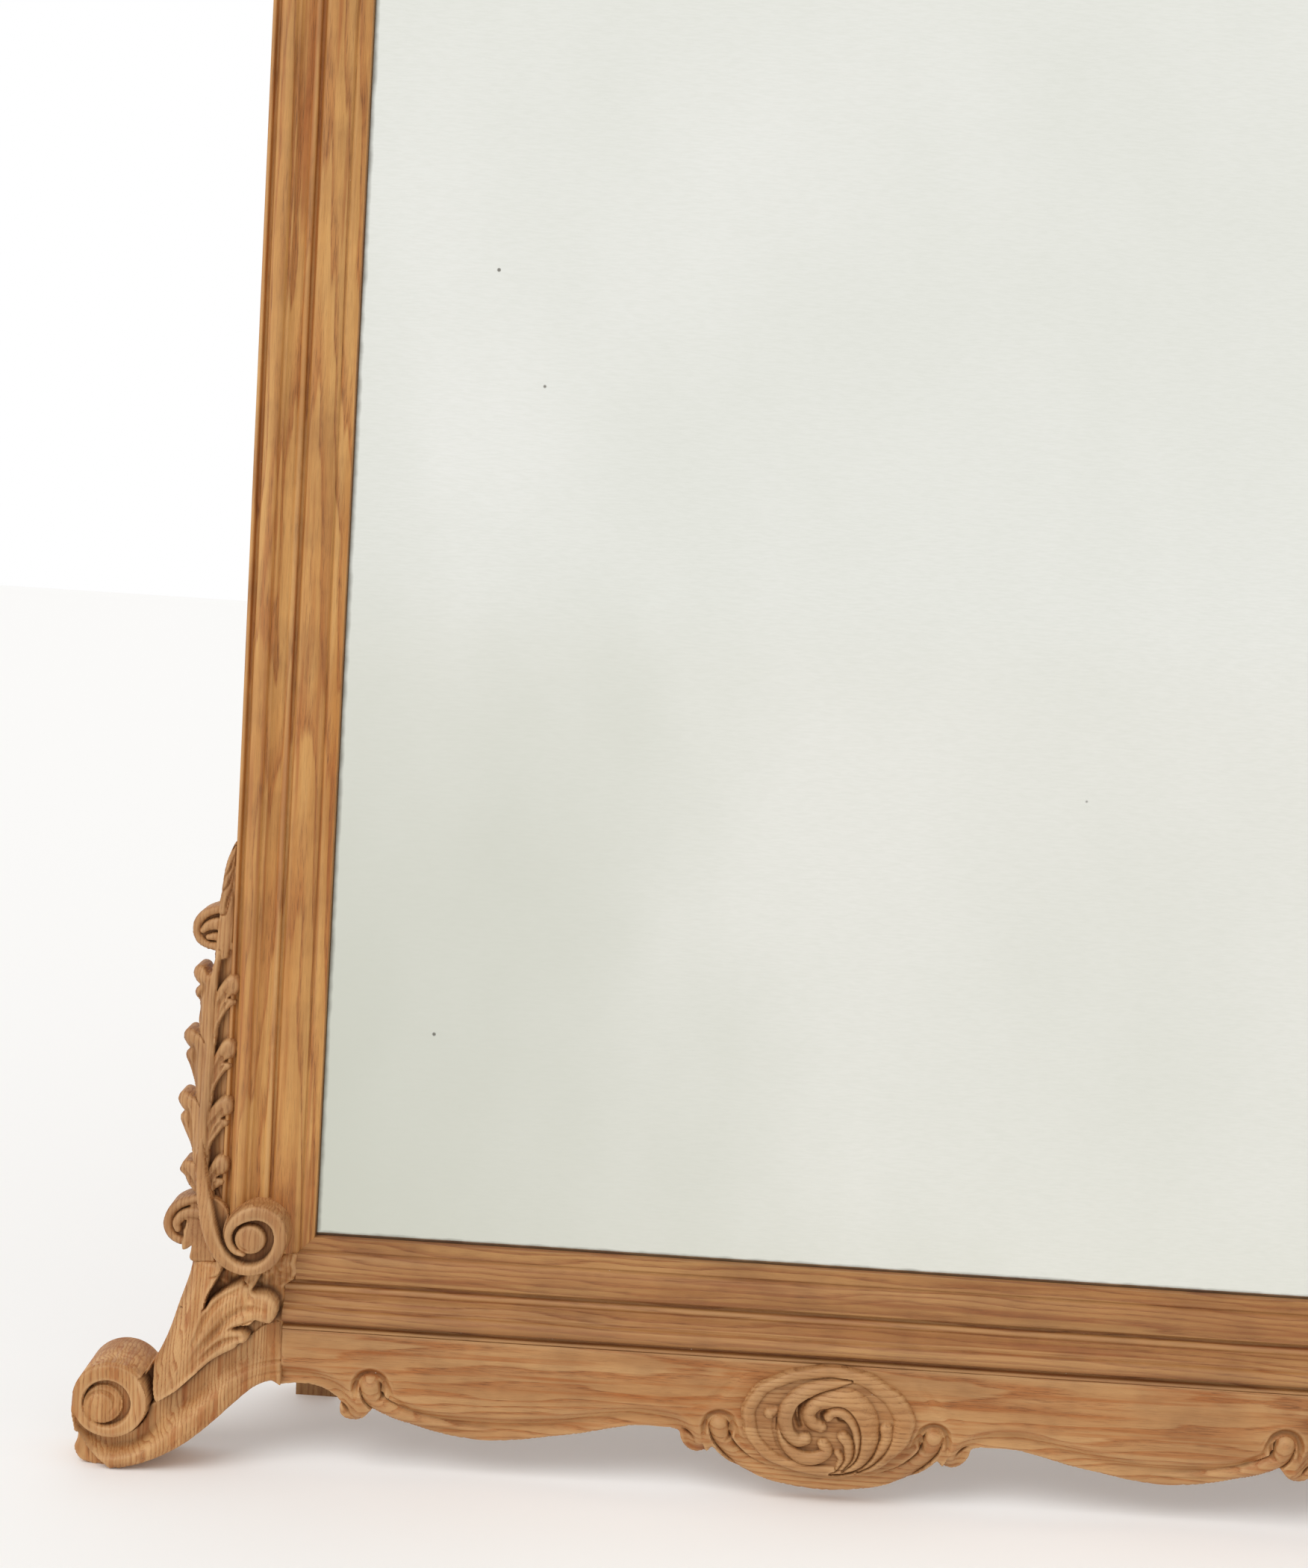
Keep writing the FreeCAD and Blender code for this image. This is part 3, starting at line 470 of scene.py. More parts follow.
def as_piece(name: str, mesh: bpy.types.Mesh, crease: float = 50) -> bpy.types.Object:
    """Links a mesh into the scene with smooth faces that break at creases.

    Args:
        name: The object's name.
        mesh: Its mesh.
        crease: The angle in degrees from which an edge is sharp.

    Returns:
        The new object.
    """
    mesh.shade_smooth()
    mesh.set_sharp_from_angle(angle=math.radians(crease))
    piece = bpy.data.objects.new(name, mesh)
    bpy.context.scene.collection.objects.link(piece)
    return piece


def steps(low: float, high: float, step: float) -> Field:
    """Grid places from `low` to `high` at about `step`."""
    return np.linspace(low, high, int(math.ceil((high - low) / step)) + 1)


# ---------------------------------------------------------------- finishes
def linear(code: str) -> tuple[float, float, float, float]:
    """Turns an sRGB hex colour, as #RRGGBB, into linear red, green, blue and full alpha."""
    parts = [int(code[place:place + 2], 16) / 255 for place in (1, 3, 5)]
    red, green, blue = (p / 12.92 if p <= 0.04045 else ((p + 0.055) / 1.055) ** 2.4 for p in parts)
    return red, green, blue, 1.0


def set_stops(ramp: bpy.types.ColorRamp, stops: Sequence[tuple[float, float]]) -> None:
    """Gives a ramp its stops, each a position and a grey."""
    while len(ramp.elements) < len(stops):
        ramp.elements.new(1.0)
    for element, (position, grey) in zip(ramp.elements, stops):
        element.position = position
        element.color = (grey, grey, grey, 1.0)


def add_node(tree: bpy.types.NodeTree, kind: str, *values: object, sockets: dict | None = None,
             stops: Sequence[tuple[float, float]] = (), **settings: object) -> bpy.types.Node:
    """Adds a node with its settings, and gives its sockets values or links.

    Args:
        tree: The node tree.
        kind: The node's type, without the ShaderNode that each type starts with.
        values: For the first sockets in turn, a value, an output, or a node for its first output.
        sockets: The same for sockets told by name or number.
        stops: A ramp's stops.
        settings: Properties of the node.

    Returns:
        The node.
    """
    node = tree.nodes.new(f"ShaderNode{kind}")
    for name, value in settings.items():
        setattr(node, name, value)
    if stops:
        set_stops(node.color_ramp, stops)
    for name, value in {**dict(enumerate(values)), **(sockets or {})}.items():
        if isinstance(value, bpy.types.Node):
            value = value.outputs[0]
        if isinstance(value, bpy.types.NodeSocket):
            tree.links.new(value, node.inputs[name])
        else:
            node.inputs[name].default_value = value
    return node


class Grain(Enum):
    """Which way a board's grain runs: the order of its across, depth and along axes."""

    UPRIGHT = ("X", "Y", "Z")
    ACROSS = ("Z", "Y", "X")
    FORWARD = ("X", "Z", "Y")


def new_tree(name: str) -> tuple[bpy.types.Material, bpy.types.NodeTree]:
    """Starts a material with an empty tree."""
    material = bpy.data.materials.new(name)
    material.use_nodes = True
    material.node_tree.nodes.clear()
    return material, material.node_tree


def board_coordinates(tree: bpy.types.NodeTree, grain: Grain = Grain.UPRIGHT,
                      shift: Sequence[float] = (0, 0, 0)) -> bpy.types.Node:
    """Gives a board's own coordinates in mm: across, depth and along the grain.

    Args:
        tree: The material's tree.
        grain: Which way the grain runs.
        shift: The board's place in its log, in mm.

    Returns:
        The node that holds the coordinates.
    """
    add = partial(add_node, tree)
    parts = add("SeparateXYZ", add("TexCoord").outputs["Object"])
    turned = add("CombineXYZ", *(parts.outputs[axis] for axis in grain.value))
    scaled = add("VectorMath", turned, sockets={"Scale": 1 / MM}, operation="SCALE")
    return add("VectorMath", scaled, tuple(shift), operation="ADD")


def lumps(tree: bpy.types.NodeTree, place: bpy.types.Node, size: Sequence[float],
          detail: float = 2.0, roughness: float = 0.5) -> bpy.types.Node:
    """Noise whose lumps are about `size` mm across, deep and along the grain."""
    scaled = add_node(tree, "VectorMath", place, tuple(1 / length for length in size),
                      operation="MULTIPLY")
    return add_node(tree, "TexNoise", sockets={"Vector": scaled, "Scale": 1.0, "Detail": detail,
                                               "Roughness": roughness})


def dots(tree: bpy.types.NodeTree, place: bpy.types.Node, spacing: float) -> bpy.types.Node:
    """How far each place lies from the nearest of dots scattered about `spacing` mm apart."""
    cells = add_node(tree, "VectorMath", place, sockets={"Scale": 1 / spacing}, operation="SCALE")
    return add_node(tree, "TexVoronoi", sockets={"Vector": cells, "Scale": 1.0})


def stained(tree: bpy.types.NodeTree, base: object, *stains: tuple[object, str],
            blend: str = "MIX") -> bpy.types.NodeSocket:
    """Lays stains over a colour, one after another.

    Args:
        tree: The material's tree.
        base: The colour below, as #RRGGBB or an output.
        stains: For each stain, how thickly it lies and its colour as #RRGGBB.
        blend: How a stain joins the colour below it.

    Returns:
        The colour's socket.
    """
    colour = linear(base) if isinstance(base, str) else base
    for thickness, stain in stains:
        colour = add_node(tree, "Mix", sockets={0: thickness, 6: colour, 7: linear(stain)},
                          data_type="RGBA", blend_type=blend).outputs[2]
    return colour


@dataclass(frozen=True)
class Oak:
    """Oak whose old varnish was stripped off: dry, open-pored, with brown dirt and painted shade in
    its hollows.

    The growth rings show as soft tan and orange bands with dark short pores, because the porous
    early wood kept stain that the dense late wood gave up.
    """

    name: str
    grain: Grain
    shift: tuple[float, float, float] = (0.0, 0.0, 0.0)
    pale: str = "#CF9B5A"
    tan: str = "#BC803F"
    orange: str = "#A66028"
    pore: str = "#7A4E2A"
    # the brown of the dirt and painted shade in the hollows
    dirt_and_shade: str = "#5C3A1D"
    rubbed: str = "#D2A877"
    speck: str = "#E4DCCB"
    ring: float = 5.0  # mm between two growth rings
    pith: tuple[float, float] = (30.0, 95.0)  # mm from the board's face to the log's heart
    tilt: float = 0.035  # how steeply the log leaned across the saw
    wander: float = 44.0  # mm that the rings stray from round
    pore_depth: float = 0.35  # mm
    carved: float = 1.0  # how far the worn, dirty and painted-shade places show
    paint: bool = True

    def build(self) -> bpy.types.Material:
        """Makes the material."""
        material, tree = new_tree(self.name)
        add = partial(add_node, tree)
        place = board_coordinates(tree, self.grain, self.shift)
        early = self._early_wood(tree, place)
        streak = add("ValToRGB", lumps(tree, place, (13, 13, 300), 3, 0.6),
                     stops=[(0.36, 0), (0.62, 1)])
        warm = add("ValToRGB", lumps(tree, place, (6, 6, 210)), stops=[(0.56, 0), (0.7, 0.75)])
        pores = add("ValToRGB", lumps(tree, place, (0.55, 0.55, 14), 3, 0.6),
                    stops=[(0.5, 0), (0.66, 1)])
        pored = add("Math", pores, add("Math", early, 0.62, 0.22, operation="MULTIPLY_ADD"),
                    operation="MULTIPLY")
        base = stained(tree, self.tan, (streak, self.pale), (warm, self.orange),
                       (add("Math", early, 0.72, operation="MULTIPLY"), self.orange),
                       (pored, self.pore))
        blotch = add("ValToRGB", lumps(tree, place, (46, 46, 60), 3, 0.6),
                     stops=[(0.42, 0), (0.75, 0.34)])
        base = stained(tree, base, (blotch, self.pore), blend="MULTIPLY")
        # grime holds the dirt and painted shade in the hollows
        base, grime = self._worn_and_shaded(tree, place, base)
        relief = add("Math", pored, -1.0, add("Math", early, -0.35, operation="MULTIPLY"),
                     operation="MULTIPLY_ADD")
        bump = add("Bump", sockets={"Strength": 0.5, "Distance": self.pore_depth * MM,
                                    "Height": relief})
        rough = add("Math", grime, 0.2, add("Math", pored, 0.15, 0.55, operation="MULTIPLY_ADD"),
                    operation="MULTIPLY_ADD")
        add("OutputMaterial", add("BsdfPrincipled", sockets={
            "Base Color": base, "Roughness": rough, "IOR": 1.5, "Specular IOR Level": 0.38,
            "Normal": bump}))
        return material

    def _early_wood(self, tree: bpy.types.NodeTree, place: bpy.types.Node) -> bpy.types.Node:
        """Draws the growth rings round the log's heart, 1 in the early wood and 0 in the late."""
        add = partial(add_node, tree)
        warp = lumps(tree, place, (70, 70, 420), 3, 0.55)
        parts = add("SeparateXYZ", place)
        bend = add("Math", warp, self.wander, -self.wander / 2, operation="MULTIPLY_ADD")
        lean = add("Math", parts.outputs["Z"], self.tilt, operation="MULTIPLY")
        squares = []
        for axis, heart, stray in (("X", self.pith[0], bend), ("Y", self.pith[1], lean)):
            off = add("Math", parts.outputs[axis], heart, operation="ADD")
            off = add("Math", off, stray, operation="ADD")
            squares.append(add("Math", off, 2.0, operation="POWER"))
        radius = add("Math", add("Math", *squares, operation="ADD"), operation="SQRT")
        fine = add("Math", lumps(tree, place, (9, 9, 130)), 1.6, operation="MULTIPLY")
        rings = add("Math", add("Math", radius, self.ring, operation="DIVIDE"), fine,
                    operation="ADD")
        return add("ValToRGB", add("Math", rings, operation="FRACT"),
                   stops=[(0, 1), (0.16, 0.62), (0.42, 0.06), (0.9, 0), (1, 0.9)])

    def _worn_and_shaded(self, tree: bpy.types.NodeTree, place: bpy.types.Node,
              base: bpy.types.NodeSocket) -> tuple[bpy.types.NodeSocket, bpy.types.Node]:
        """Darkens the carving's hollows with dirt and painted shade, rubs its edges pale and leaves
        specks of old paint.

        Args:
            tree: The material's tree.
            place: The board's coordinates.
            base: The wood's colour so far.

        Returns:
            The colour, and how much dirt and painted shade each place takes.
        """
        add = partial(add_node, tree)
        hollow, ridge = (add("Attribute", attribute_name=name).outputs["Fac"]
                         for name in ("hollow", "ridge"))
        patch = add("Math", lumps(tree, place, (5, 5, 9), 3, 0.6), 0.9, 0.55,
                    operation="MULTIPLY_ADD")
        # dirt and painted shade, thickest in the creases
        dirt_and_shade = add("ValToRGB", add("Math", hollow, patch, operation="MULTIPLY"),
                   stops=[(0.05, 0), (0.45, 0.62), (1, 0.95)])
        dirt_and_shade = add("Math", dirt_and_shade, self.carved, operation="MULTIPLY")
        rub = add("Math", ridge, 0.5 * self.carved, operation="MULTIPLY")
        base = stained(tree, base, (dirt_and_shade, self.dirt_and_shade), (rub, self.rubbed))
        if not self.paint:
            return base, dirt_and_shade
        # specks about a millimetre wide, which a stripper leaves in the grooves
        spot = add("ValToRGB", dots(tree, place, 6.5), stops=[(0.05, 1), (0.085, 0)])
        rare = add("ValToRGB", lumps(tree, place, (24, 24, 24), 1), stops=[(0.56, 0), (0.62, 1)])
        kept = add("ValToRGB", hollow, stops=[(0.1, 0), (0.3, 1)])
        shown = add("Math", spot, add("Math", rare, kept, operation="MULTIPLY"),
                    operation="MULTIPLY")
        return stained(tree, base, (shown, self.speck)), dirt_and_shade


@dataclass(frozen=True)
class Pine:
    """Sawn pine boards gone brown with age: wide soft bands, and fine saw lines across them."""

    name: str
    grain: Grain
    shift: tuple[float, float, float] = (0.0, 0.0, 0.0)
    pale: str = "#A9814F"
    band: str = "#85592E"
    grime: str = "#5A3D22"
    wander: float = 90.0  # mm that the bands stray from straight
    band_width: float = 11.0  # mm
    tooth: float = 3.2  # mm between two saw lines
    fibre_depth: float = 0.4  # mm

    def build(self) -> bpy.types.Material:
        """Makes the material."""
        material, tree = new_tree(self.name)
        add = partial(add_node, tree)
        place = board_coordinates(tree, self.grain, self.shift)
        warp = lumps(tree, place, (90, 90, 700))
        parts = add("SeparateXYZ", place)
        stray = add("Math", warp, self.wander, -self.wander / 2, operation="MULTIPLY_ADD")
        across = add("Math", parts.outputs["X"], stray, operation="ADD")
        phase = add("Math", add("Math", across, self.band_width, operation="DIVIDE"),
                    operation="FRACT")
        band = add("ValToRGB", phase, stops=[(0, 0.1), (0.7, 0.35), (0.94, 1), (1, 0.1)])
        fibre = lumps(tree, place, (1.1, 1.1, 60), 3, 0.6)
        thread = add("ValToRGB", fibre, stops=[(0.45, 0), (0.75, 0.5)])
        stain = add("ValToRGB", lumps(tree, place, (120, 120, 160), 4, 0.6),
                    stops=[(0.42, 0), (0.72, 0.6)])
        base = stained(tree, self.pale, (band, self.band), (thread, self.grime),
                       (stain, self.grime))
        turns = add("Math", parts.outputs["Z"], 2 * math.pi / self.tooth, operation="MULTIPLY")
        saw = add("Math", add("Math", turns, operation="SINE"), 0.08, operation="MULTIPLY")
        height = add("Math", fibre, 1.0, saw, operation="MULTIPLY_ADD")
        bump = add("Bump", sockets={"Strength": 0.5, "Distance": self.fibre_depth * MM,
                                    "Height": height})
        add("OutputMaterial", add("BsdfPrincipled", sockets={
            "Base Color": base, "Roughness": 0.82, "IOR": 1.5, "Specular IOR Level": 0.25,
            "Normal": bump}))
        return material


@dataclass(frozen=True)
class SilveredPlate:
    """Old silvered glass: a clear reflection, a faint grey haze and a few black foxing spots."""

    name: str = "silvered_glass_old"
    silver: str = "#ECECE6"
    haze: str = "#E4E5DD"
    dull: str = "#CFD1C5"
    spot: str = "#3A3226"
    # the colour of the painted shade along the lip
    lip_shade_colour: str = "#5B5347"
    fade: tuple[float, float] = (620.0, 900.0)  # mm over which the plate darkens across and down
    foxing: float = 75.0  # mm between two spots

    def build(self, opening: Opening) -> bpy.types.Material:
        """Makes the material.

        Args:
            opening: The frame's sight, along which painted shade of the lip is laid.

        Returns:
            The material.
        """
        material, tree = new_tree(self.name)
        add = partial(add_node, tree)
        place = board_coordinates(tree)
        parts = add("SeparateXYZ", place)
        cloud = add("ValToRGB", lumps(tree, place, (260, 260, 380), 3), stops=[(0.35, 0), (0.7, 1)])
        # the plate is painted darker towards the lower left corner
        lower_left_darkening = add("Math", parts.outputs["X"], -1 / self.fade[0], 0.35, operation="MULTIPLY_ADD")
        lower_left_darkening = add("Math", parts.outputs["Z"], -1 / self.fade[1], lower_left_darkening, operation="MULTIPLY_ADD")
        lower_left_darkening = add("ValToRGB", add("Math", cloud, 0.25, lower_left_darkening, operation="MULTIPLY_ADD"),
                   stops=[(0.05, 0), (0.95, 1)])
        wiped = add("ValToRGB", lumps(tree, place, (9, 9, 1.4), 3, 0.6), stops=[(0.35, 0),
                                                                                (0.7, 1)])
        lip_shade = self._lip_shade(tree, place, parts, opening)
        spots = add("ValToRGB", dots(tree, place, self.foxing), stops=[(0.014, 1), (0.022, 0)])
        tint = stained(tree, self.silver, (cloud, self.haze), (lower_left_darkening, self.dull),
                       (add("Math", wiped, 0.16, operation="MULTIPLY"), self.dull),
                       # painted shade of the lip along the sight edge
                       (add("Math", lip_shade, 0.75, operation="MULTIPLY"), self.lip_shade_colour),
                       (add("Math", spots, 0.8, operation="MULTIPLY"), self.spot))
        film = add("Math", lumps(tree, place, (120, 120, 2.2)), 0.05, 0.09,
                   operation="MULTIPLY_ADD")
        rough = add("Math", spots, 0.5, film, operation="MULTIPLY_ADD")
        add("OutputMaterial", add("BsdfPrincipled", sockets={
            "Base Color": tint, "Metallic": add("Math", 1.0, spots, operation="SUBTRACT"),
            "Roughness": rough}))
        return material

    @staticmethod
    def _lip_shade(tree: bpy.types.NodeTree, place: bpy.types.Node, parts: bpy.types.Node,
               opening: Opening) -> bpy.types.Node:
        """Paints a dark line, 2 to 4 mm wide, along the sight edge: painted shade for the lip's
        shadow and its dark reflection in the glass.

        Args:
            tree: The material's tree.
            place: The plate's coordinates.
            parts: The same, taken apart.
            opening: The frame's sight.

        Returns:
            The node that holds how much painted shade each place takes.
        """
        add = partial(add_node, tree)
        across, up = parts.outputs["X"], parts.outputs["Z"]
        beside = add("Math", opening.half_sight, add("Math", across, operation="ABSOLUTE"),
                     operation="SUBTRACT")
        above = add("Math", up, opening.foot, operation="SUBTRACT")
        below = add("Math", opening.top, up, operation="SUBTRACT")
        edge = add("Math", beside, add("Math", above, below, operation="MINIMUM"),
                   operation="MINIMUM")
        ragged = add("Math", lumps(tree, place, (14, 14, 14)), -0.3, 0.15, operation="MULTIPLY_ADD")
        return add("ValToRGB", add("Math", edge, 0.1, ragged, operation="MULTIPLY_ADD"),
                   stops=[(0.1, 1), (0.4, 0)])


@dataclass(frozen=True)
class Metal:
    """Dull old metal, cast or drawn, with a patchy brown film over a soft shine."""

    name: str
    bright: str
    film: str
    roughness: float

    def build(self) -> bpy.types.Material:
        """Makes the material."""
        material, tree = new_tree(self.name)
        patch = add_node(tree, "ValToRGB", lumps(tree, board_coordinates(tree), (4, 4, 4), 4, 0.6),
                         stops=[(0.38, 0), (0.66, 1)])
        rough = add_node(tree, "Math", patch, 0.25, self.roughness, operation="MULTIPLY_ADD")
        add_node(tree, "OutputMaterial", add_node(tree, "BsdfPrincipled", sockets={
            "Base Color": stained(tree, self.bright, (patch, self.film)), "Metallic": 0.9,
            "Roughness": rough}))
        return material


@dataclass(frozen=True)
class StudioFloor:
    """Pale matt studio board, rolled smooth."""

    name: str = "studio_board_pale"
    colour: str = "#F9F8F6"

    def build(self) -> bpy.types.Material:
        """Makes the material."""
        material, tree = new_tree(self.name)
        add_node(tree, "OutputMaterial", add_node(tree, "BsdfPrincipled", sockets={
            "Base Color": linear(self.colour), "Roughness": 0.9, "Specular IOR Level": 0.1}))
        return material


def dress(piece: bpy.types.Object, material: bpy.types.Material) -> None:
    """Gives a piece one material in place of all it had."""
    piece.data.materials.clear()
    piece.data.materials.append(material)


def fit(piece: bpy.types.Object, body: str, slot: str, material: bpy.types.Material,
        *nodes: str) -> None:
    """Dresses a piece, lets it ride on its body and stand for its CAD nodes.

    Args:
        piece: The piece.
        body: The body that it moves with.
        slot: The record's material slot, which is not used.
        material: Its finish.
        nodes: The CAD nodes that it stands for.
    """
    dress(piece, material)
    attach(piece, body)
    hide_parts(*nodes)
    log.info("%s: %d faces", piece.name, len(piece.data.polygons))


# ---------------------------------------------------------------- moulded frame
def arc_points(start: Sequence[float], middle: Sequence[float], end: Sequence[float],
               count: int = 12) -> list[tuple[float, float]]:
    """Points along the round arc through three places, without its start.

    Args:
        start: The arc's first place.
        middle: A place on the arc.
        end: Its last place.
        count: How many points to give.

    Returns:
        The points.
    """
    (ax, ay), (bx, by), (cx, cy) = start, middle, end
    d = 2 * (ax * (by - cy) + bx * (cy - ay) + cx * (ay - by))
    a2, b2, c2 = ax * ax + ay * ay, bx * bx + by * by, cx * cx + cy * cy
    ox = (a2 * (by - cy) + b2 * (cy - ay) + c2 * (ay - by)) / d
    oy = (a2 * (cx - bx) + b2 * (ax - cx) + c2 * (bx - ax)) / d
    radius = math.hypot(ax - ox, ay - oy)
    first, via, last = (math.atan2(y - oy, x - ox) for x, y in (start, middle, end))
    turn = (last - first) % (2 * math.pi)
    if (via - first) % (2 * math.pi) > turn:
        turn -= 2 * math.pi
    return [(ox + radius * math.cos(first + turn * n / count),
             oy + radius * math.sin(first + turn * n / count)) for n in range(1, count + 1)]


@dataclass
class Moulding:
    """The frame's moulding: a lip, a cove, a bead, a hollow, a torus and an arris."""

    width: float = 71.0
    lip_width: float = 10.0
    lip_rise: float = 7.0
    back: float = 19.8
    ledge: float = 22.0
    board_seat: float = 9.0
    softened: float = 0.35  # how far strippers and dusters have rounded its members, mm
    point_gap: float = 0.55
    ring_gap: float = 9.0
    unevenness: float = 0.12

    def face(self) -> Field:
        """The moulded face from the sight edge to the outer arris: distance out and rise."""
        line: list[tuple[float, float]] = [(0.0, self.lip_rise), (9.5, 8.6), (10.4, 7.4),
                                           (11.4, 9.6)]
        line += arc_points(line[-1], (22, 14.2), (31.5, 13.6))
        line += [(33.2, 9.4), (35.6, 9.2)]
        line += arc_points(line[-1], (38.6, 12.9), (41.2, 11.4)) + [(42, 12.6)]
        line += arc_points(line[-1], (46.8, 13.2), (50, 16.8)) + [(52, 16.6)]
        line += arc_points(line[-1], (58, 22), (64, 15.6)) + [(65, 12.4), (67.2, 12.2), (68, 14.6)]
        line += arc_points(line[-1], (69.8, 15.6), (self.width, 14))
        run = np.array(line)
        length = np.r_[0, np.cumsum(np.hypot(*np.diff(run, axis=0).T))]
        even = np.arange(0, length[-1], self.point_gap)
        smooth = np.stack([np.interp(even, length, run[:, k]) for k in (0, 1)], 1)
        reach = np.arange(-4, 5)
        kernel = np.exp(-0.5 * (reach * self.point_gap / self.softened / 2) ** 2)
        kernel /= kernel.sum()
        padded = np.pad(smooth, ((4, 4), (0, 0)), mode="edge")
        smooth = np.stack([np.convolve(padded[:, k], kernel, "valid") for k in (0, 1)], 1)
        return np.vstack([smooth, [self.width, 13.4]])

    def bar(self, name: str, along: Callable[[Field], tuple[Field, Field]], place: Place,
            seed: int, length: float) -> bpy.types.Object:
        """Makes one bar of the frame.

        Args:
            name: The piece's name.
            along: For each distance out, where the bar starts and ends.
            place: From distance out, place along and rise to a place in metres.
            seed: The number of its unevenness.
            length: About how long the bar is.

        Returns:
            The new object.
        """
        face = self.face()
        rear = [(self.width, -self.back), (self.ledge, -self.back), (self.ledge, -self.board_seat),
                (self.lip_width, -self.board_seat), (self.lip_width, 0.0), (0.0, 0.0)]
        ring = np.vstack([face, rear])
        count, size = int(length / self.ring_gap), len(ring)
        shares = np.linspace(0, 1, count)
        start, end = along(ring[:, 0])
        places = start[None] + shares[:, None] * (end - start)[None]
        noise = uneven(seed, (count, size), 3)
        noise[:, len(face):] = 0
        rise = ring[None, :, 1] + self.unevenness * noise / max(float(noise.std()), 1e-6)
        out = np.repeat(ring[None, :, 0], count, 0)
        spots = place(out, places, rise).reshape(-1, 3)
        rows, columns = np.meshgrid(np.arange(count - 1), np.arange(size), indexing="ij")
        here, beside = rows * size + columns, rows * size + (columns + 1) % size
        quads = np.stack([here, beside, beside + size, here + size], -1).reshape(-1, 4).tolist()
        caps = [list(range(size)), list(range((count - 1) * size, count * size))]
        mesh = bpy.data.meshes.new(name)
        mesh.from_pydata(spots.tolist(), [], quads + caps)
        padded = np.pad(face[:, 1], 7, mode="edge")
        near = np.convolve(padded, np.ones(15) / 15, "valid") - face[:, 1]
        # the profile's hollows take dirt and painted shade, and the whole back a quarter of it
        hollow = np.concatenate([np.clip(near / 5, 0, 0.4), np.full(len(rear), 0.25)])
        ridge = np.concatenate([np.clip(-near / 1.6, 0, 1), np.zeros(len(rear))])
        mark_wear_and_shade(mesh, np.tile(hollow, count), np.tile(ridge, count))
        sheet = bmesh.new()
        sheet.from_mesh(mesh)
        bmesh.ops.recalc_face_normals(sheet, faces=sheet.faces)
        sheet.to_mesh(mesh)
        sheet.free()
        return as_piece(name, mesh, 40)


@dataclass
class MouldedFrame:
    """The two stiles and two rails, mitred at the top and seated between the feet below."""

    opening: Opening
    moulding: Moulding = field(default_factory=Moulding)
    mitre: float = 12.0
    seam: float = 20.0
    step: tuple[float, float] = (31.0, 37.0)
    key_leg: float = 50.0
    key_layer: float = 8.0
    key_thickness: float = 4.0
    proud: float = 0.3  # the keys' end grain stands this far out of the shrunken frame

    def seam_at(self, out: Field) -> Field:
        """How far outside the sight the lower rail's end lies, for each distance from the sight."""
        return np.interp(out, [0, self.mitre, *self.step], [0, self.mitre, self.mitre, self.seam])

    def build(self) -> None:
        """Makes the four bars and the two corner keys."""
        o = self.opening
        height, width = o.top - o.foot, 2 * o.half_sight
        for side, name in SIDES:
            piece = self.moulding.bar(
                f"{name}_stile_moulded",
                lambda out: (o.foot - np.minimum(out, self.mitre), o.top + out),
                o.beside(side), 11 + side, height)
            oak = Oak(f"stripped_oak_{name}_stile", Grain.UPRIGHT, (-side * 435.0, 0, 700.0 * side),
                      pith=(side * 9.0, 112.0), tilt=0.035, ring=6.5)
            fit(piece, "frame", "stripped_oak", oak.build(), f"{name}_stile")
            self.key(side, name)

        def rail_place(sign: int, level: float) -> Place:
            """A placing for a rail whose face runs up (1) or down (-1) from a height."""
            return lambda out, x, rise: np.stack([x, o.lip - rise, level + sign * out], -1) * MM

        rail_tones = {"pale": "#B0814D", "tan": "#9E6A38", "orange": "#8C5026"}
        top = self.moulding.bar(
            "top_rail_moulded", lambda out: (-o.half_sight - out, o.half_sight + out),
            rail_place(1, o.top), 21, width)
        oak = Oak("stripped_oak_top_rail", Grain.ACROSS, (35, 0, 90), pith=(20, 110), **rail_tones)
        fit(top, "frame", "stripped_oak", oak.build(), "top_rail")
        low = self.moulding.bar("bottom_rail_moulded",
                                lambda out: (-o.half_sight - self.seam_at(out),
                                             o.half_sight + self.seam_at(out)),
                                rail_place(-1, o.foot), 22, width)
        oak = Oak("stripped_oak_bottom_rail", Grain.ACROSS, (140, 0, -60), pith=(-190, 125),
                  ring=6.0, **rail_tones)
        fit(low, "frame", "stripped_oak", oak.build(), "bottom_rail")

    def key(self, side: int, name: str) -> None:
        """Makes the three-cornered key let into an upper mitre."""
        o = self.opening
        outer, top = self.moulding.width, o.top + self.moulding.width
        corners = np.array([(outer + self.proud, top + self.proud),
                            (outer - self.key_leg, top + self.proud), (outer - self.key_leg, top),
                            (outer, top - self.key_leg), (outer + self.proud, top - self.key_leg)])
        place = o.beside(side)
        layers = [place(corners[:, 0], corners[:, 1], np.full(len(corners), -back))
                  for back in (self.key_layer, self.key_layer + self.key_thickness)]
        count = len(corners)
        faces = [list(range(count)), list(range(count, 2 * count))]
        faces += [[n, (n + 1) % count, count + (n + 1) % count, count + n] for n in range(count)]
        mesh = bpy.data.meshes.new(f"{name}_corner_key_end_grain")
        mesh.from_pydata(np.vstack(layers).tolist(), [], faces)
        piece = as_piece(mesh.name, mesh, 20)
        oak = Oak(f"stripped_oak_{name}_key", Grain.ACROSS, (10 * side, 5, 3), paint=False)
        fit(piece, "frame", "stripped_oak", oak.build(), f"{name}_corner_key")


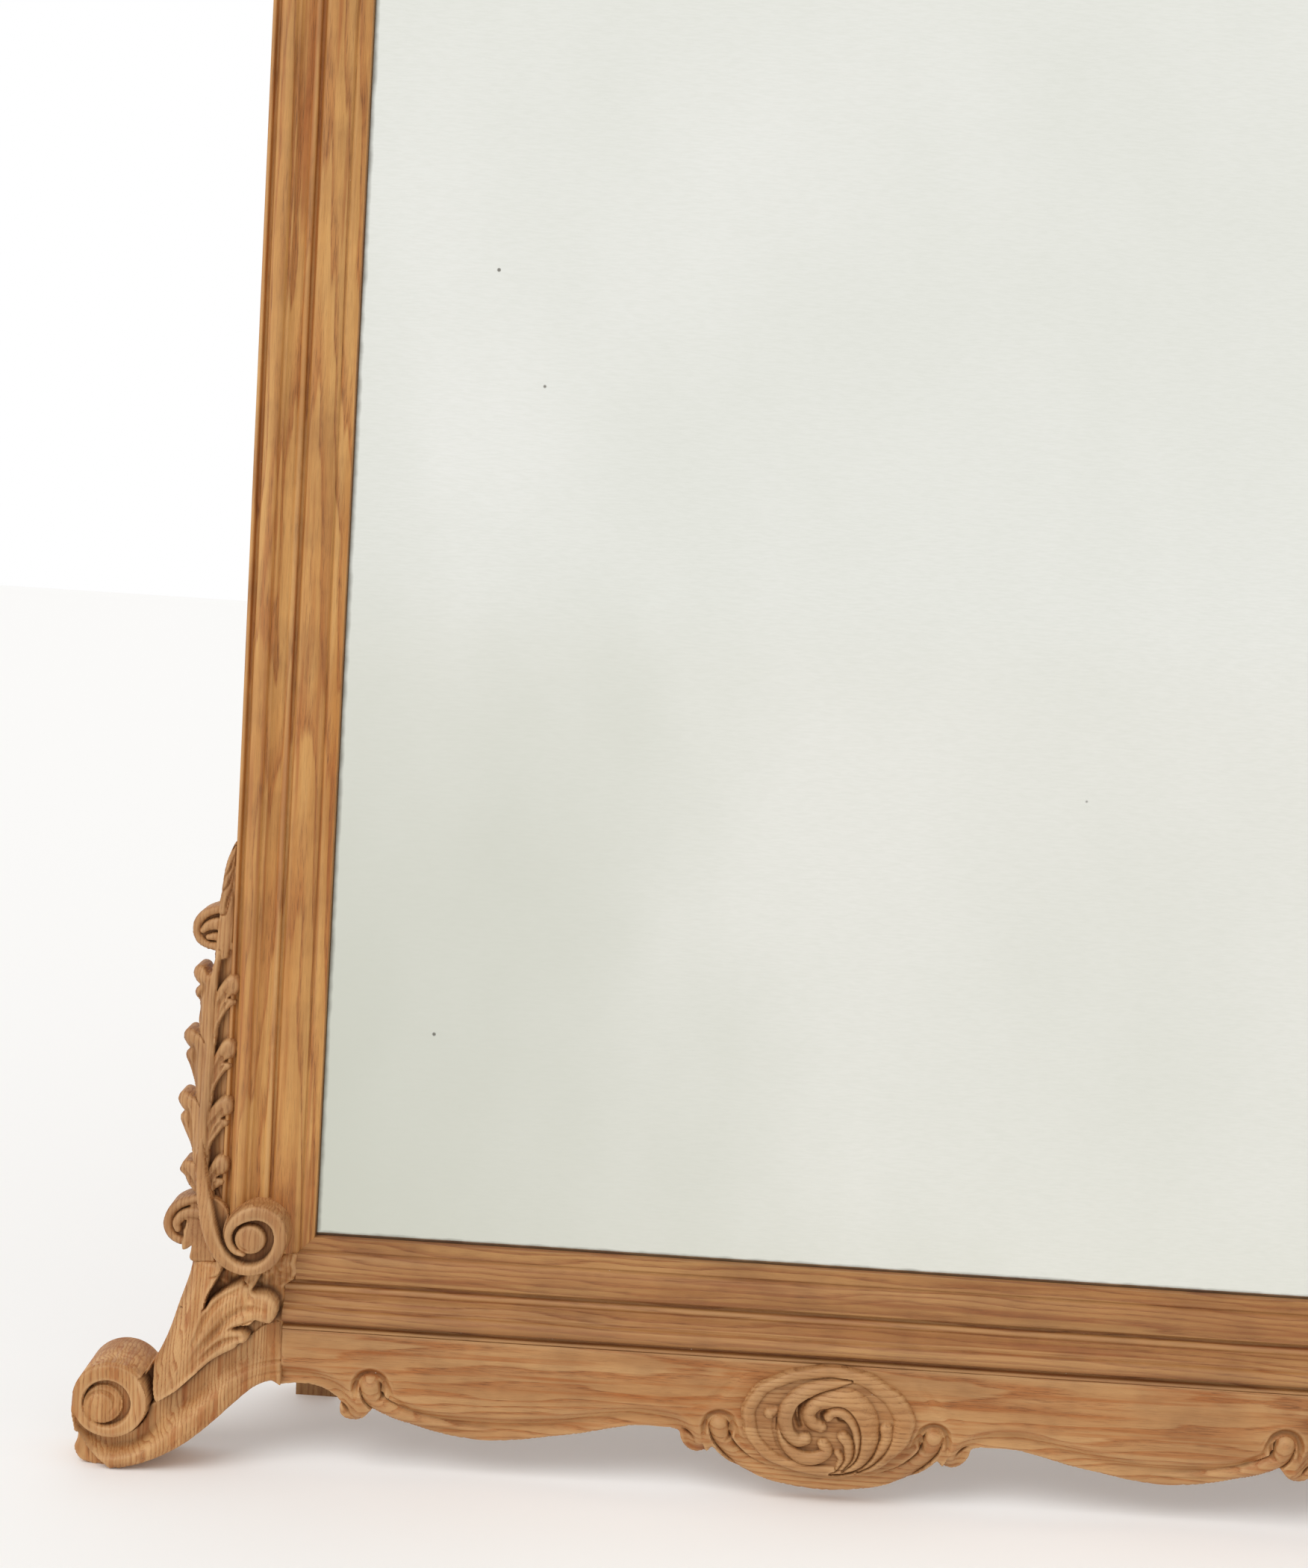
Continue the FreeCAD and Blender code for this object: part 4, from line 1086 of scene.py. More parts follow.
# ---------------------------------------------------------------- scroll feet
@dataclass
class ScrollFoot:
    """A scroll foot carved from one block: arch, volute, toe, canted console and acanthus leaf."""

    opening: Opening
    step: float = 0.75
    volute: tuple[float, float] = (145.5, 54.0)
    boss: tuple[float, float] = (151.0, 50.8)
    disc_radius: float = 28.7
    groove: tuple[float, float] = (147.8, 52.2)
    groove_radius: float = 18.0
    boss_radius: float = 14.4
    front: float = 38.0
    seam_out: float = 20.0
    mitre: float = 12.0
    shoulder: float = 163.0
    block_out: float = 71.0  # the stile's outer edge
    block_top: float = 171.0
    rail_foot: float = 152.0
    apron_top: float = 146.0
    roll_middle: tuple[float, float] = (144.7, 54.9)
    roll_radius: float = 29.5
    roll_turn: float = 141.0  # degrees
    line_reach: float = 93.0  # far enough for a line's side to hold over the whole foot
    back: float = 19.8

    def outline(self) -> Field:
        """The foot's outline from the seam along the arch, round the volute and up the console."""
        (across, up), radius = self.roll_middle, self.roll_radius
        roll = [(across + radius * math.cos(a), up + radius * math.sin(a))
                for a in np.linspace(0, math.radians(self.roll_turn), 28)]
        arch = flowing([(20, 67), (27.4, 70.4), (38.6, 66.4), (49.5, 57.8), (71.4, 37.5),
                        (93.4, 20),
                        (115.7, 8), (132, 2.6), (146, 0.6)])
        toe = flowing([(146, 0.2), (158, 0.2), (168, 3.2), (173.4, 11.6), (171.2, 20), (171.6, 30),
                       (174.2, 44), (174.2, 54.9)])
        console = flowing([(121.7, 73.4), (114.2, 86.8), (106.3, 105.4), (99.2, 129.7), (92.2, 152),
                           (90.5, self.shoulder)])
        block = [(self.block_out, self.shoulder), (self.block_out, self.block_top),
                 (self.mitre, self.block_top), (self.mitre, self.rail_foot),
                 (self.seam_out, self.apron_top)]
        return np.vstack([arch, toe, roll, console, block])

    def ridge(self) -> list[tuple[float, float, float, float]]:
        """The console's front arris, from the bracket down to the volute."""
        return [(80, 176, 95, 25), (79, 160, 95, 27.5), (79, 144, 95, 30), (80.6, 128, 95, 32.4),
                (83, 114, 95, 34.4), (88, 98, 95, 36), (97, 78, 95, 37), (111, 56, 95, 37)]

    def carve(self, seed: int) -> Relief:
        """Carves the foot's face.

        Args:
            seed: The number of its unevenness.

        Returns:
            The carved sheet.
        """
        face = Relief(steps(9, 177, self.step), steps(-3, 174, self.step), 14)
        face.cover(face.within(self.outline(), smooth=False))
        self.console(face)
        self.acanthus(face, seed)
        self.arch(face)
        self.scroll(face)
        face.handwork(seed)
        face.fillet(2.6)
        return face

    def above_cove(self, face: Relief) -> Field:
        """How far each point lies above the line under the leaf and the volute."""
        line = [(8, 119), (22, 118), (34, 114), (44, 106), (52, 100.6), (60, 95.8), (71.5, 88.5),
                (85, 75),
                (96, 64.5), (108, 55.6), (117, 49), (119, 42), (123.5, 34), (131, 27.6),
                (141, 24.6), (151, 25.2),
                (160, 29.5), (167, 36), (172, 46), (174, 55)]
        return face.border(line, self.line_reach)

    def arch(self, face: Relief) -> None:
        """The lower scroll: a cove under the leaf, and a round band along the arch."""
        upper = self.above_cove(face)
        lower = face.border([
            (8, 66), (27.4, 70.4), (38.6, 66.4), (49.5, 57.8), (71.4, 37.5), (93.4, 20), (115.7, 8),
            (132, 2.6), (146, 0.6), (158, 3), (166, 12), (173, 26), (175, 46)], self.line_reach)
        wide = np.abs(upper) + np.abs(lower)
        share = np.abs(upper) / np.maximum(wide, 0.1)
        closing = 1 - np.clip(wide / 17, 0, 1)
        band = eased(0.26, 0.7, share) - 0.16 * eased(0.78, 1.0, share)
        floor = 14.6 + 10.6 * eased(24, 92, face.across)
        swell = 2.2 + 9.6 * eased(24, 88, face.across)
        face.lay(-upper, floor + swell * np.maximum(band, 1.15 * closing), 1.2)
        face.gouge([(16, 86.8, 2.4, 1.3), (21, 86.8, 2.4, 1.3), (35.7, 83.9, 2.6, 1.3),
                    (48.8, 79, 2.6, 1.1),
                    (60.9, 72.3, 2.4, 0.8), (72, 61, 2, 0.2)])
        face.gouge([(16, 78.4, 2, 0.9), (20, 78, 2, 0.9), (35.3, 75, 2.2, 0.9),
                    (44.7, 71.4, 2, 0.6), (56, 64, 2, 0.1)])

    def console(self, face: Relief) -> None:
        """The console's canted outer face, which runs on into the leaf above the arch."""
        ridge = face.stroke(self.ridge())
        cant = np.where(ridge.side > 0, ridge.distance, 0)
        inward = np.where(ridge.side > 0, 0, ridge.distance)
        soft = 2.6 * (1 - eased(0, 9, ridge.distance))
        face.lay(self.above_cove(face), ridge.top - 0.92 * cant - 0.05 * inward - soft, 1.0)

    def acanthus(self, face: Relief, seed: int) -> None:
        """The leaf that grows out of the console and curls over the block's face."""
        leaf = face.within([
            (100, 60), (93.5, 66.4), (85.3, 74.8), (71.7, 88.5), (62.5, 95), (53.3, 100),
            (50.6, 103.6),
            (45.9, 104.4), (44.2, 108.9), (48.2, 113.1), (55.8, 114.5), (50.2, 116.8),
            (42.8, 118.3),
            (39.1, 122), (33.4, 120.9), (27.7, 120.3), (23.8, 125.9), (22.7, 133.8), (25.8, 139.4),
            (32.5, 143.4), (42.4, 143.6), (41.2, 148.1), (39.1, 154.1), (42.6, 158.2),
            (48.2, 156.4),
            (49.9, 152.9), (57.2, 147.5), (64.5, 142.7), (73.7, 135.2), (79, 128), (92, 128),
            (112, 110),
            (116, 80), (112, 56)])
        console = face.border([(79, 126), (76.4, 138), (71, 149), (66.6, 160), (65, 178)], 63)
        right = np.where(face.up < 126, np.abs(console), console)
        noise = uneven(seed, face.height.shape, 2.2)
        broken = 0.15 + 0.75 * eased(136, 150, face.up)
        ground = 15.4 - 1.6 * eased(128, 146, face.up) + broken * noise / float(noise.std())
        body = face.height.copy()
        tip = 3.0 * knob(face, (32, 132), (15, 13))
        body += tip - 4.5 * eased(145, 154, face.up) * (face.across < 62)
        body -= 0.9 * rounded(leaf, 4) * (face.across < 80)
        face.lay(leaf, body, 0.9)
        face.lay(np.minimum(np.minimum(-leaf, right), self.above_cove(face)), ground, 1.0)
        face.gouge([(31, 131, 3, 0.6), (44, 131, 5, 2.2), (56.3, 125, 5.6, 3.4),
                    (65.3, 115.3, 5.4, 3.8),
                    (77, 100.9, 5, 3.2), (85.8, 86.5, 4, 1.8), (94, 74, 3, 0.4)])
        face.gouge([(48.4, 109, 2.8, 1.2), (58.3, 106.6, 3.8, 2.8), (67.5, 101, 4.2, 3.2),
                    (77.5, 91, 4, 2.8),
                    (88, 78, 3.4, 1.8), (98, 68, 2.4, 0.4)])
        face.gouge([(46, 151, 2.4, 0.8), (55, 143, 3.6, 2.2), (66, 136, 4.2, 2.8),
                    (76, 123, 4, 2.6),
                    (83, 106, 3.2, 1.4), (88, 95, 2.4, 0.3)])
        face.gouge([(44.6, 147.6, 1.2, 0.6), (49, 149, 1.4, 3.4), (50.6, 152.4, 1.2, 2.0)])
        face.gouge([(42, 122, 1.2, 1.2), (47, 119.4, 1.6, 2.4), (56, 115.8, 1.4, 1.6),
                    (62, 112, 1.2, 0.3)])
        face.gouge([(66, 157, 1.4, 2.6), (71, 153.4, 1.5, 2.0), (76, 152, 1.2, 0.5)])

    def scroll(self, face: Relief) -> None:
        """The volute: a flat band, a sunk crescent and a boss that turns out of the band."""
        rim = face.within([(121.7, 74), (119, 80), (125, 95), (150, 97), (182, 80), (182, 50),
                           (174, 50),
                           (160, 60), (145, 62)])
        face.lay(rim, self.front - 2.2, 0.8)
        disc = face.disc(self.volute, (self.disc_radius, self.disc_radius))
        crown = 1.0 - np.clip(np.abs(disc - 6) / 9, 0, 1) ** 2
        turned = 1.6 * eased(35, 22, face.up) + 1.2 * eased(163, 174, face.across)
        face.lay(disc, self.front - 1.6 + 1.4 * crown - turned * eased(5, 0, disc), 0.9)
        ring = face.disc(self.groove, (self.groove_radius, self.groove_radius))
        boss = face.disc(self.boss, (self.boss_radius, self.boss_radius))
        downhill = (face.across - self.boss[0]) - (face.up - self.boss[1])
        joined = eased(0.35, 0.95, downhill / (1.414 * self.groove_radius))
        face.cut_to(np.minimum(ring, -boss - 0.2), 30.2 + 6.0 * joined, 1.6)
        tilt = np.clip(0.16 * (face.across - self.boss[0]) - 0.13 * (face.up - self.boss[1]), -2, 3)
        face.lay(boss, 32.6 + 3.6 * domed(boss, self.boss_radius) + tilt, 1.4)
        face.gouge([(164.6, 50, 1.4, 0.4), (161.8, 57, 1.8, 1.3), (154, 60.4, 2.2, 1.8),
                    (145.4, 57.4, 2.3, 1.8),
                    (142.4, 50, 2.0, 1.3), (146, 43.6, 1.5, 0.3)])
        toe = face.within([(146, -6), (147, 3), (153, 8.4), (161, 16), (170, 28), (182, 30),
                           (182, -6)])
        face.cut_to(toe, 27.0, 1.0)

    def build(self) -> None:
        """Makes both feet."""
        for side, name in SIDES:
            relief = self.carve(30 + side)
            piece = relief.build(f"{name}_foot_carved", self.opening.beside(side), self.back)
            oak = Oak(f"carved_oak_{name}_foot", Grain.UPRIGHT, (side * 300.0, 12, 50.0), ring=3.2,
                      pith=(side * -70.0, 60.0), tilt=0.05, pale="#CE9F69", tan="#B5804A")
            fit(piece, "frame", "carved_oak", oak.build(), f"{name}_foot")


# ---------------------------------------------------------------- leaf brackets
@dataclass
class LeafBracket:
    """The bracket beside a stile: a stem with leaves on both sides and a curl at each end."""

    opening: Opening
    step: float = 0.65
    back: float = 13.8
    shoulder: float = 163.0
    top: float = 484.0
    # each leaf's tip: how far out and how high
    outer_tips: tuple = ((109.1, 281.0), (106.8, 330.0), (101.0, 379.5))
    inner_tips: tuple = ((65.4, 239.0), (63.8, 285.0), (63.6, 329.0), (62.6, 378.0))
    stem: tuple = ((73.6, 484.0), (75.6, 470.0), (78.0, 452.0), (79.6, 436.0), (80.2, 418.0),
    (80.6, 401.0),
                   (82.9, 385.0), (84.7, 362.0), (85.2, 343.0), (83.9, 320.0), (85.1, 301.0),
                   (86.2, 282.0),
                   (87.2, 260.0), (86.9, 240.0), (84.4, 222.0), (80.6, 206.0), (77.0, 193.0),
                   (71.0, 178.0))

    def carve(self, seed: int) -> Relief:
        """Carves the bracket's face.

        Args:
            seed: The number of its unevenness.

        Returns:
            The carved sheet.
        """
        face = Relief(steps(57, 122, self.step), steps(160, 488, self.step), 10.0)
        board = face.within(flowing([
            (71, self.shoulder), (90.5, self.shoulder), (91.5, 172), (90.5, 186), (90, 205),
            (91.5, 214),
            (93, 240), (91.5, 262), (91, 290), (89.5, 310), (89, 335), (87, 355), (85.6, 380),
            (84, 400),
            (82.4, 436), (81.2, 446), (79.6, 463), (77, 474), (72.6, self.top), (71, self.top)]),
            smooth=False)
        face.cover(board)
        face.height += 3.0 * eased(80, 71, face.across)
        for tip in self.outer_tips:
            self.outer_leaf(face, *tip)
        self.thorn(face)
        self.curls(face)
        for tip in self.inner_tips:
            self.inner_leaf(face, *tip)
        self.sprig(face)
        root = face.within([(74, 158), (74, 172), (79, 188), (84, 200), (90, 206), (96, 200),
                            (98, 158)])
        face.raise_to(root, 13 + 8.5 * eased(204, 166, face.up), 3.0)
        low = [(across, up) for across, up in self.stem if up < 405]
        tops = np.interp([up for _, up in low], [163, 240, 400], [24, 21.5, 18.6])
        face.roll([(across, up, 3.6 - 1.6 * float(eased(360, 402, np.array(up))), top)
                   for (across, up), top in zip(low, tops)], 2.6, 1.2)
        face.trim(face.up - self.shoulder)
        face.handwork(seed, 0.14)
        face.fillet(1.8)
        return face

    def stem_at(self, up: float | Field) -> float | Field:
        """How far out the stem stands at a height."""
        return np.interp(up, *zip(*sorted((level, across) for across, level in self.stem)))

    def slope(self, face: Relief) -> Field:
        """The leaves fall back steeply outside the stem, and slowly towards the glass."""
        out = face.across - self.stem_at(face.up)
        return 19.8 - 0.66 * np.clip(out, 0, 40) - 0.10 * np.clip(-out, 0, 30)

    def sprig(self, face: Relief) -> None:
        """The small leaves that hug the stile above the upper curl."""
        face.roll([(72, 481, 1.4, 10.6), (75, 470, 3.4, 12.6), (77, 456, 4.4, 13.8),
                   (78.4, 442, 4.2, 14.8),
                   (79.6, 432, 3.6, 15.4)], 3.0)
        face.gouge([(73, 474, 1.0, 0.6), (75.6, 464, 1.5, 2.2), (79.4, 457, 1.0, 0.8)])
        face.gouge([(73.4, 462, 1.0, 0.6), (76.4, 452, 1.6, 2.2), (80.6, 446, 1.0, 0.8)])
        face.gouge([(74, 448, 1.0, 0.6), (76.6, 440, 1.4, 1.8), (78, 430, 1.0, 0.6)])

    def outer_leaf(self, face: Relief, out: float, up: float) -> None:
        """A leaf that opens upwards on the outer side, with a notch below its tip."""
        inner = self.stem_at(up - 44) + 7.5
        high = self.stem_at(up)
        shape = face.within([
            (inner - 12, up - 50), (inner - 0.6, up - 45), (inner + 2.2, up - 33),
            (out - 6.5, up - 20),
            (out - 2.8, up - 13), (out - 3.0, up - 8.6), (out - 5.8, up - 5.8),
            (out - 3.4, up - 3.0),
            (out - 0.2, up + 2.0), (out - 1.2, up + 7), (out - 4.6, up + 9.6), (out - 9, up + 8.6),
            (high + 5, up + 4), (high - 2, up + 1)])
        face.cover(shape)
        swell = 1.9 * np.clip(1 - ((face.across - out + 5.6) / 7) ** 2
                              - ((face.up - up - 2.5) / 8) ** 2, 0, 1)
        face.lay(shape, self.slope(face) + swell - 0.8 * rounded(shape, 4), 0.8)
        face.gouge([(out - 7, up - 1, 2.2, 0.5), (out - 9.5, up - 7, 3.2, 2.4),
                    (inner + 3, up - 20, 3.2, 2.6),
                    (inner - 0.6, up - 34, 2.6, 1.0)])
        face.gouge([(out - 4.6, up - 12, 1.5, 0.7), (out - 8, up - 19, 2.0, 1.7),
                    (inner + 1.4, up - 33, 1.8, 1.0)])

    def thorn(self, face: Relief) -> None:
        """The half leaf above the lower curl."""
        shape = face.within([(82, 206), (90, 212), (96.5, 217.5), (99.4, 222), (101, 225),
                             (105.4, 228.4),
                             (104.4, 232.5), (101.6, 237), (96, 237.6), (90, 236), (82, 234)])
        face.cover(shape)
        face.lay(shape, self.slope(face) - 0.8 * rounded(shape, 3.4), 0.8)
        face.gouge([(101, 230, 2.4, 1.0), (95, 223, 2.8, 2.2), (90, 214, 2.4, 1.0)])

    def curls(self, face: Relief) -> None:
        """The two C-shaped curls with a small leaf turned inside each."""
        lower = face.within([(86, 213), (94, 210.6), (103, 207.4), (110.6, 201.6), (115.2, 192),
                             (115.6, 184), (111.6, 176), (104, 171.4), (96, 171.4), (91, 175),
                             (86, 180)])
        face.cover(lower)
        face.lay(lower, 8.0, 0.8)
        face.roll([(88, 209.5, 3.0, 15), (96, 206.6, 3.4, 14), (104.4, 202.4, 3.6, 12.6),
                   (110.4, 195, 3.6, 11),
                   (111.8, 186, 3.5, 10.6), (108.2, 178.4, 3.4, 11.4), (101, 175, 3.3, 12.6),
                   (94, 176.6, 3.0, 14), (89, 181, 3, 15)], 3.0)
        face.roll([(86, 198, 4.6, 17), (94, 197.6, 4.4, 16), (101, 194.4, 4.0, 14.6),
                   (105, 188.6, 3.4, 13.6),
                   (104, 184, 2.8, 13.4)], 3.0)
        face.roll([(86, 186, 4, 16.5), (93, 185, 3.4, 15), (97, 183.2, 2.6, 14)], 2.4)
        upper = face.within([(74, 436.6), (82, 436), (90, 433.6), (97, 429.6), (101.8, 422.6),
                             (102.6, 415),
                             (99.8, 407.6), (93, 402.6), (86, 401.4), (76, 401.4)])
        face.cover(upper)
        face.lay(upper, 7.0, 0.8)
        face.roll([(70, 433.4, 3, 14.6), (77, 433.2, 3, 13.8), (85, 432, 3.2, 13),
                   (92.6, 428.4, 3.2, 12),
                   (98.2, 421.6, 3.2, 10.6),
                   (99.4, 414, 3.1, 10.4), (95.8, 407.6, 3.1, 11.2), (89, 404.6, 3.0, 12.6),
                   (82, 404.0, 3.4, 15), (76, 399, 3, 16)], 2.8)
        face.roll([(70, 416, 5.4, 16), (76, 419.6, 5.4, 15.6), (83, 421.4, 4.8, 14.6),
                   (90, 419.6, 3.8, 13.2),
                   (94.6, 415.6, 2.4, 12)], 3)
        face.roll([(70, 406, 4.4, 15.4), (77, 410.6, 4.2, 14.8), (84, 411.6, 3.4, 13.4),
                   (90, 410.8, 2.4, 12)], 2.4)
        face.roll([(76.4, 446, 4.6, 14.4), (76.2, 430, 5.8, 15.6), (76.8, 414, 6.2, 16.6),
                   (79, 400, 5.0, 17.8)], 2.8,
                  1.2)

    def inner_leaf(self, face: Relief, out: float, up: float) -> None:
        """A leaf on the side of the glass: a round lobe over a short hooked leaflet."""
        low, high = self.stem_at(up - 44), self.stem_at(up - 8)
        lobe = face.within([
            (low + 1, up - 50), (low - 3.2, up - 44), (low - 6.4, up - 32), (out + 12.4, up - 24.4),
            (out + 8, up - 18.6), (out + 4.6, up - 16.8), (out + 3.6, up - 13.6),
            (out + 6.2, up - 11.8),
            (out + 9.6, up - 11.6), (out + 7, up - 9.4), (out + 3.6, up - 8.2),
            (out + 0.6, up - 4.6),
            (out, up), (out + 1.8, up + 4.6), (out + 6.2, up + 6.8), (out + 11, up + 4.4),
            (high - 5, up - 3), (high - 2.4, up - 10), (high + 1, up - 24)])
        face.cover(lobe)
        swell = 2.6 * np.clip(1 - ((face.across - out - 6.4) / 8) ** 2
                              - ((face.up - up + 1) / 8.4) ** 2, 0, 1)
        face.lay(lobe, self.slope(face) - 0.4 + swell - 0.85 * rounded(lobe, 3.6), 0.8)
        face.gouge([(out + 8.6, up - 3, 2.0, 0.4), (out + 11, up - 8, 2.6, 1.7),
                    (high - 5, up - 18, 2.8, 2.0),
                    (low - 3, up - 34, 2.0, 0.6)])
        face.gouge([(out + 9.4, up - 13.8, 1.3, 0.8), (out + 12, up - 17, 1.8, 1.6),
                    (low - 5.4, up - 28, 1.6, 0.8)])

    def build(self) -> None:
        """Makes both brackets."""
        for side, name in SIDES:
            piece = self.carve(50 + side).build(f"{name}_leaf_bracket_carved",
                                                self.opening.beside(side), self.back)
            oak = Oak(f"carved_oak_{name}_bracket", Grain.UPRIGHT, (side * 90.0, 30, 10.0),
                      ring=3.6, pith=(side * 30.0, 70.0), pale="#BD8E5C", tan="#A87544",
                      orange="#9A6031", carved=0.75)
            fit(piece, "frame", "carved_oak", oak.build(), f"{name}_leaf_bracket")


# ---------------------------------------------------------------- scrolls on the stiles
@dataclass
class StileScroll:
    """The scroll planted over the foot of each stile, where the bracket's stem winds up."""

    opening: Opening
    step: float = 0.6

    def carve(self, seed: int) -> Relief:
        """Carves the scroll's face.

        Args:
            seed: The number of its unevenness.

        Returns:
            The carved sheet.
        """
        face = Relief(steps(12, 94, self.step), steps(155, 262, self.step), 16)
        disc = face.disc((41.5, 188), (25.5, 26.5))
        winding = [(87, 258, 2.0, 22), (86.6, 240, 3.8, 24.4), (84, 222, 5.0, 27.6),
                   (80.6, 206, 5.6, 31),
                   (77, 193, 5.6, 34), (71, 179, 5.4, 36), (63, 169.4, 4.9, 37.4),
                   (52.6, 164, 4.3, 38),
                   (41, 163.6, 4.2, 38), (31, 168.6, 4.4, 38), (24.2, 178, 4.8, 38),
                   (21.8, 189, 5.0, 38),
                   (24.6, 200, 5.4, 38), (32.4, 206.4, 5.6, 38), (42, 207.6, 5.6, 38),
                   (51.6, 204, 5, 37.6),
                   (58.6, 197.4, 3.8, 37), (61.6, 189.6, 3.0, 36), (60.4, 182, 2.6, 35.4),
                   (56, 176.6, 2.6, 35),
                   (50, 174.6, 2.2, 34.6)]
        line = face.stroke(winding)
        face.cover(line.inside)
        face.cover(disc - 1)
        between = face.within([(62, 196), (65, 204), (70, 210), (77, 212), (78, 196), (70, 178),
                               (60, 168),
                               (46, 166), (50, 180)])
        face.cover(between)
        face.lay(between, 21 + 4 * eased(190, 170, face.up), 1.0)
        face.lay(disc, 27.0, 1.0)
        face.lay(line.inside, line.top - 2.4 * (1 - line.crown), 0.8)
        boss = face.disc((45, 186.2), (11.8, 11.4))
        face.lay(boss, 31.6 + 4.2 * domed(boss, 11.4), 1.0)
        face.gouge([(54, 190, 1.4, 0.2), (52.6, 181, 1.7, 0.9), (46, 177.6, 1.5, 0.5)])
        face.handwork(seed, 0.14)
        face.fillet(1.6)
        return face

    def build(self) -> None:
        """Makes both scrolls."""
        for side, name in SIDES:
            piece = self.carve(70 + side).build(f"{name}_stile_scroll_carved",
                                                self.opening.beside(side), -8.5)
            oak = Oak(f"carved_oak_{name}_scroll", Grain.UPRIGHT, (side * 500.0, 0, 90.0), ring=3.4,
                      pith=(side * 60.0, 80.0), pale="#C08F5D", tan="#AC7946", orange="#9C6232")
            fit(piece, "frame", "carved_oak", oak.build(), f"{name}_stile_volute")


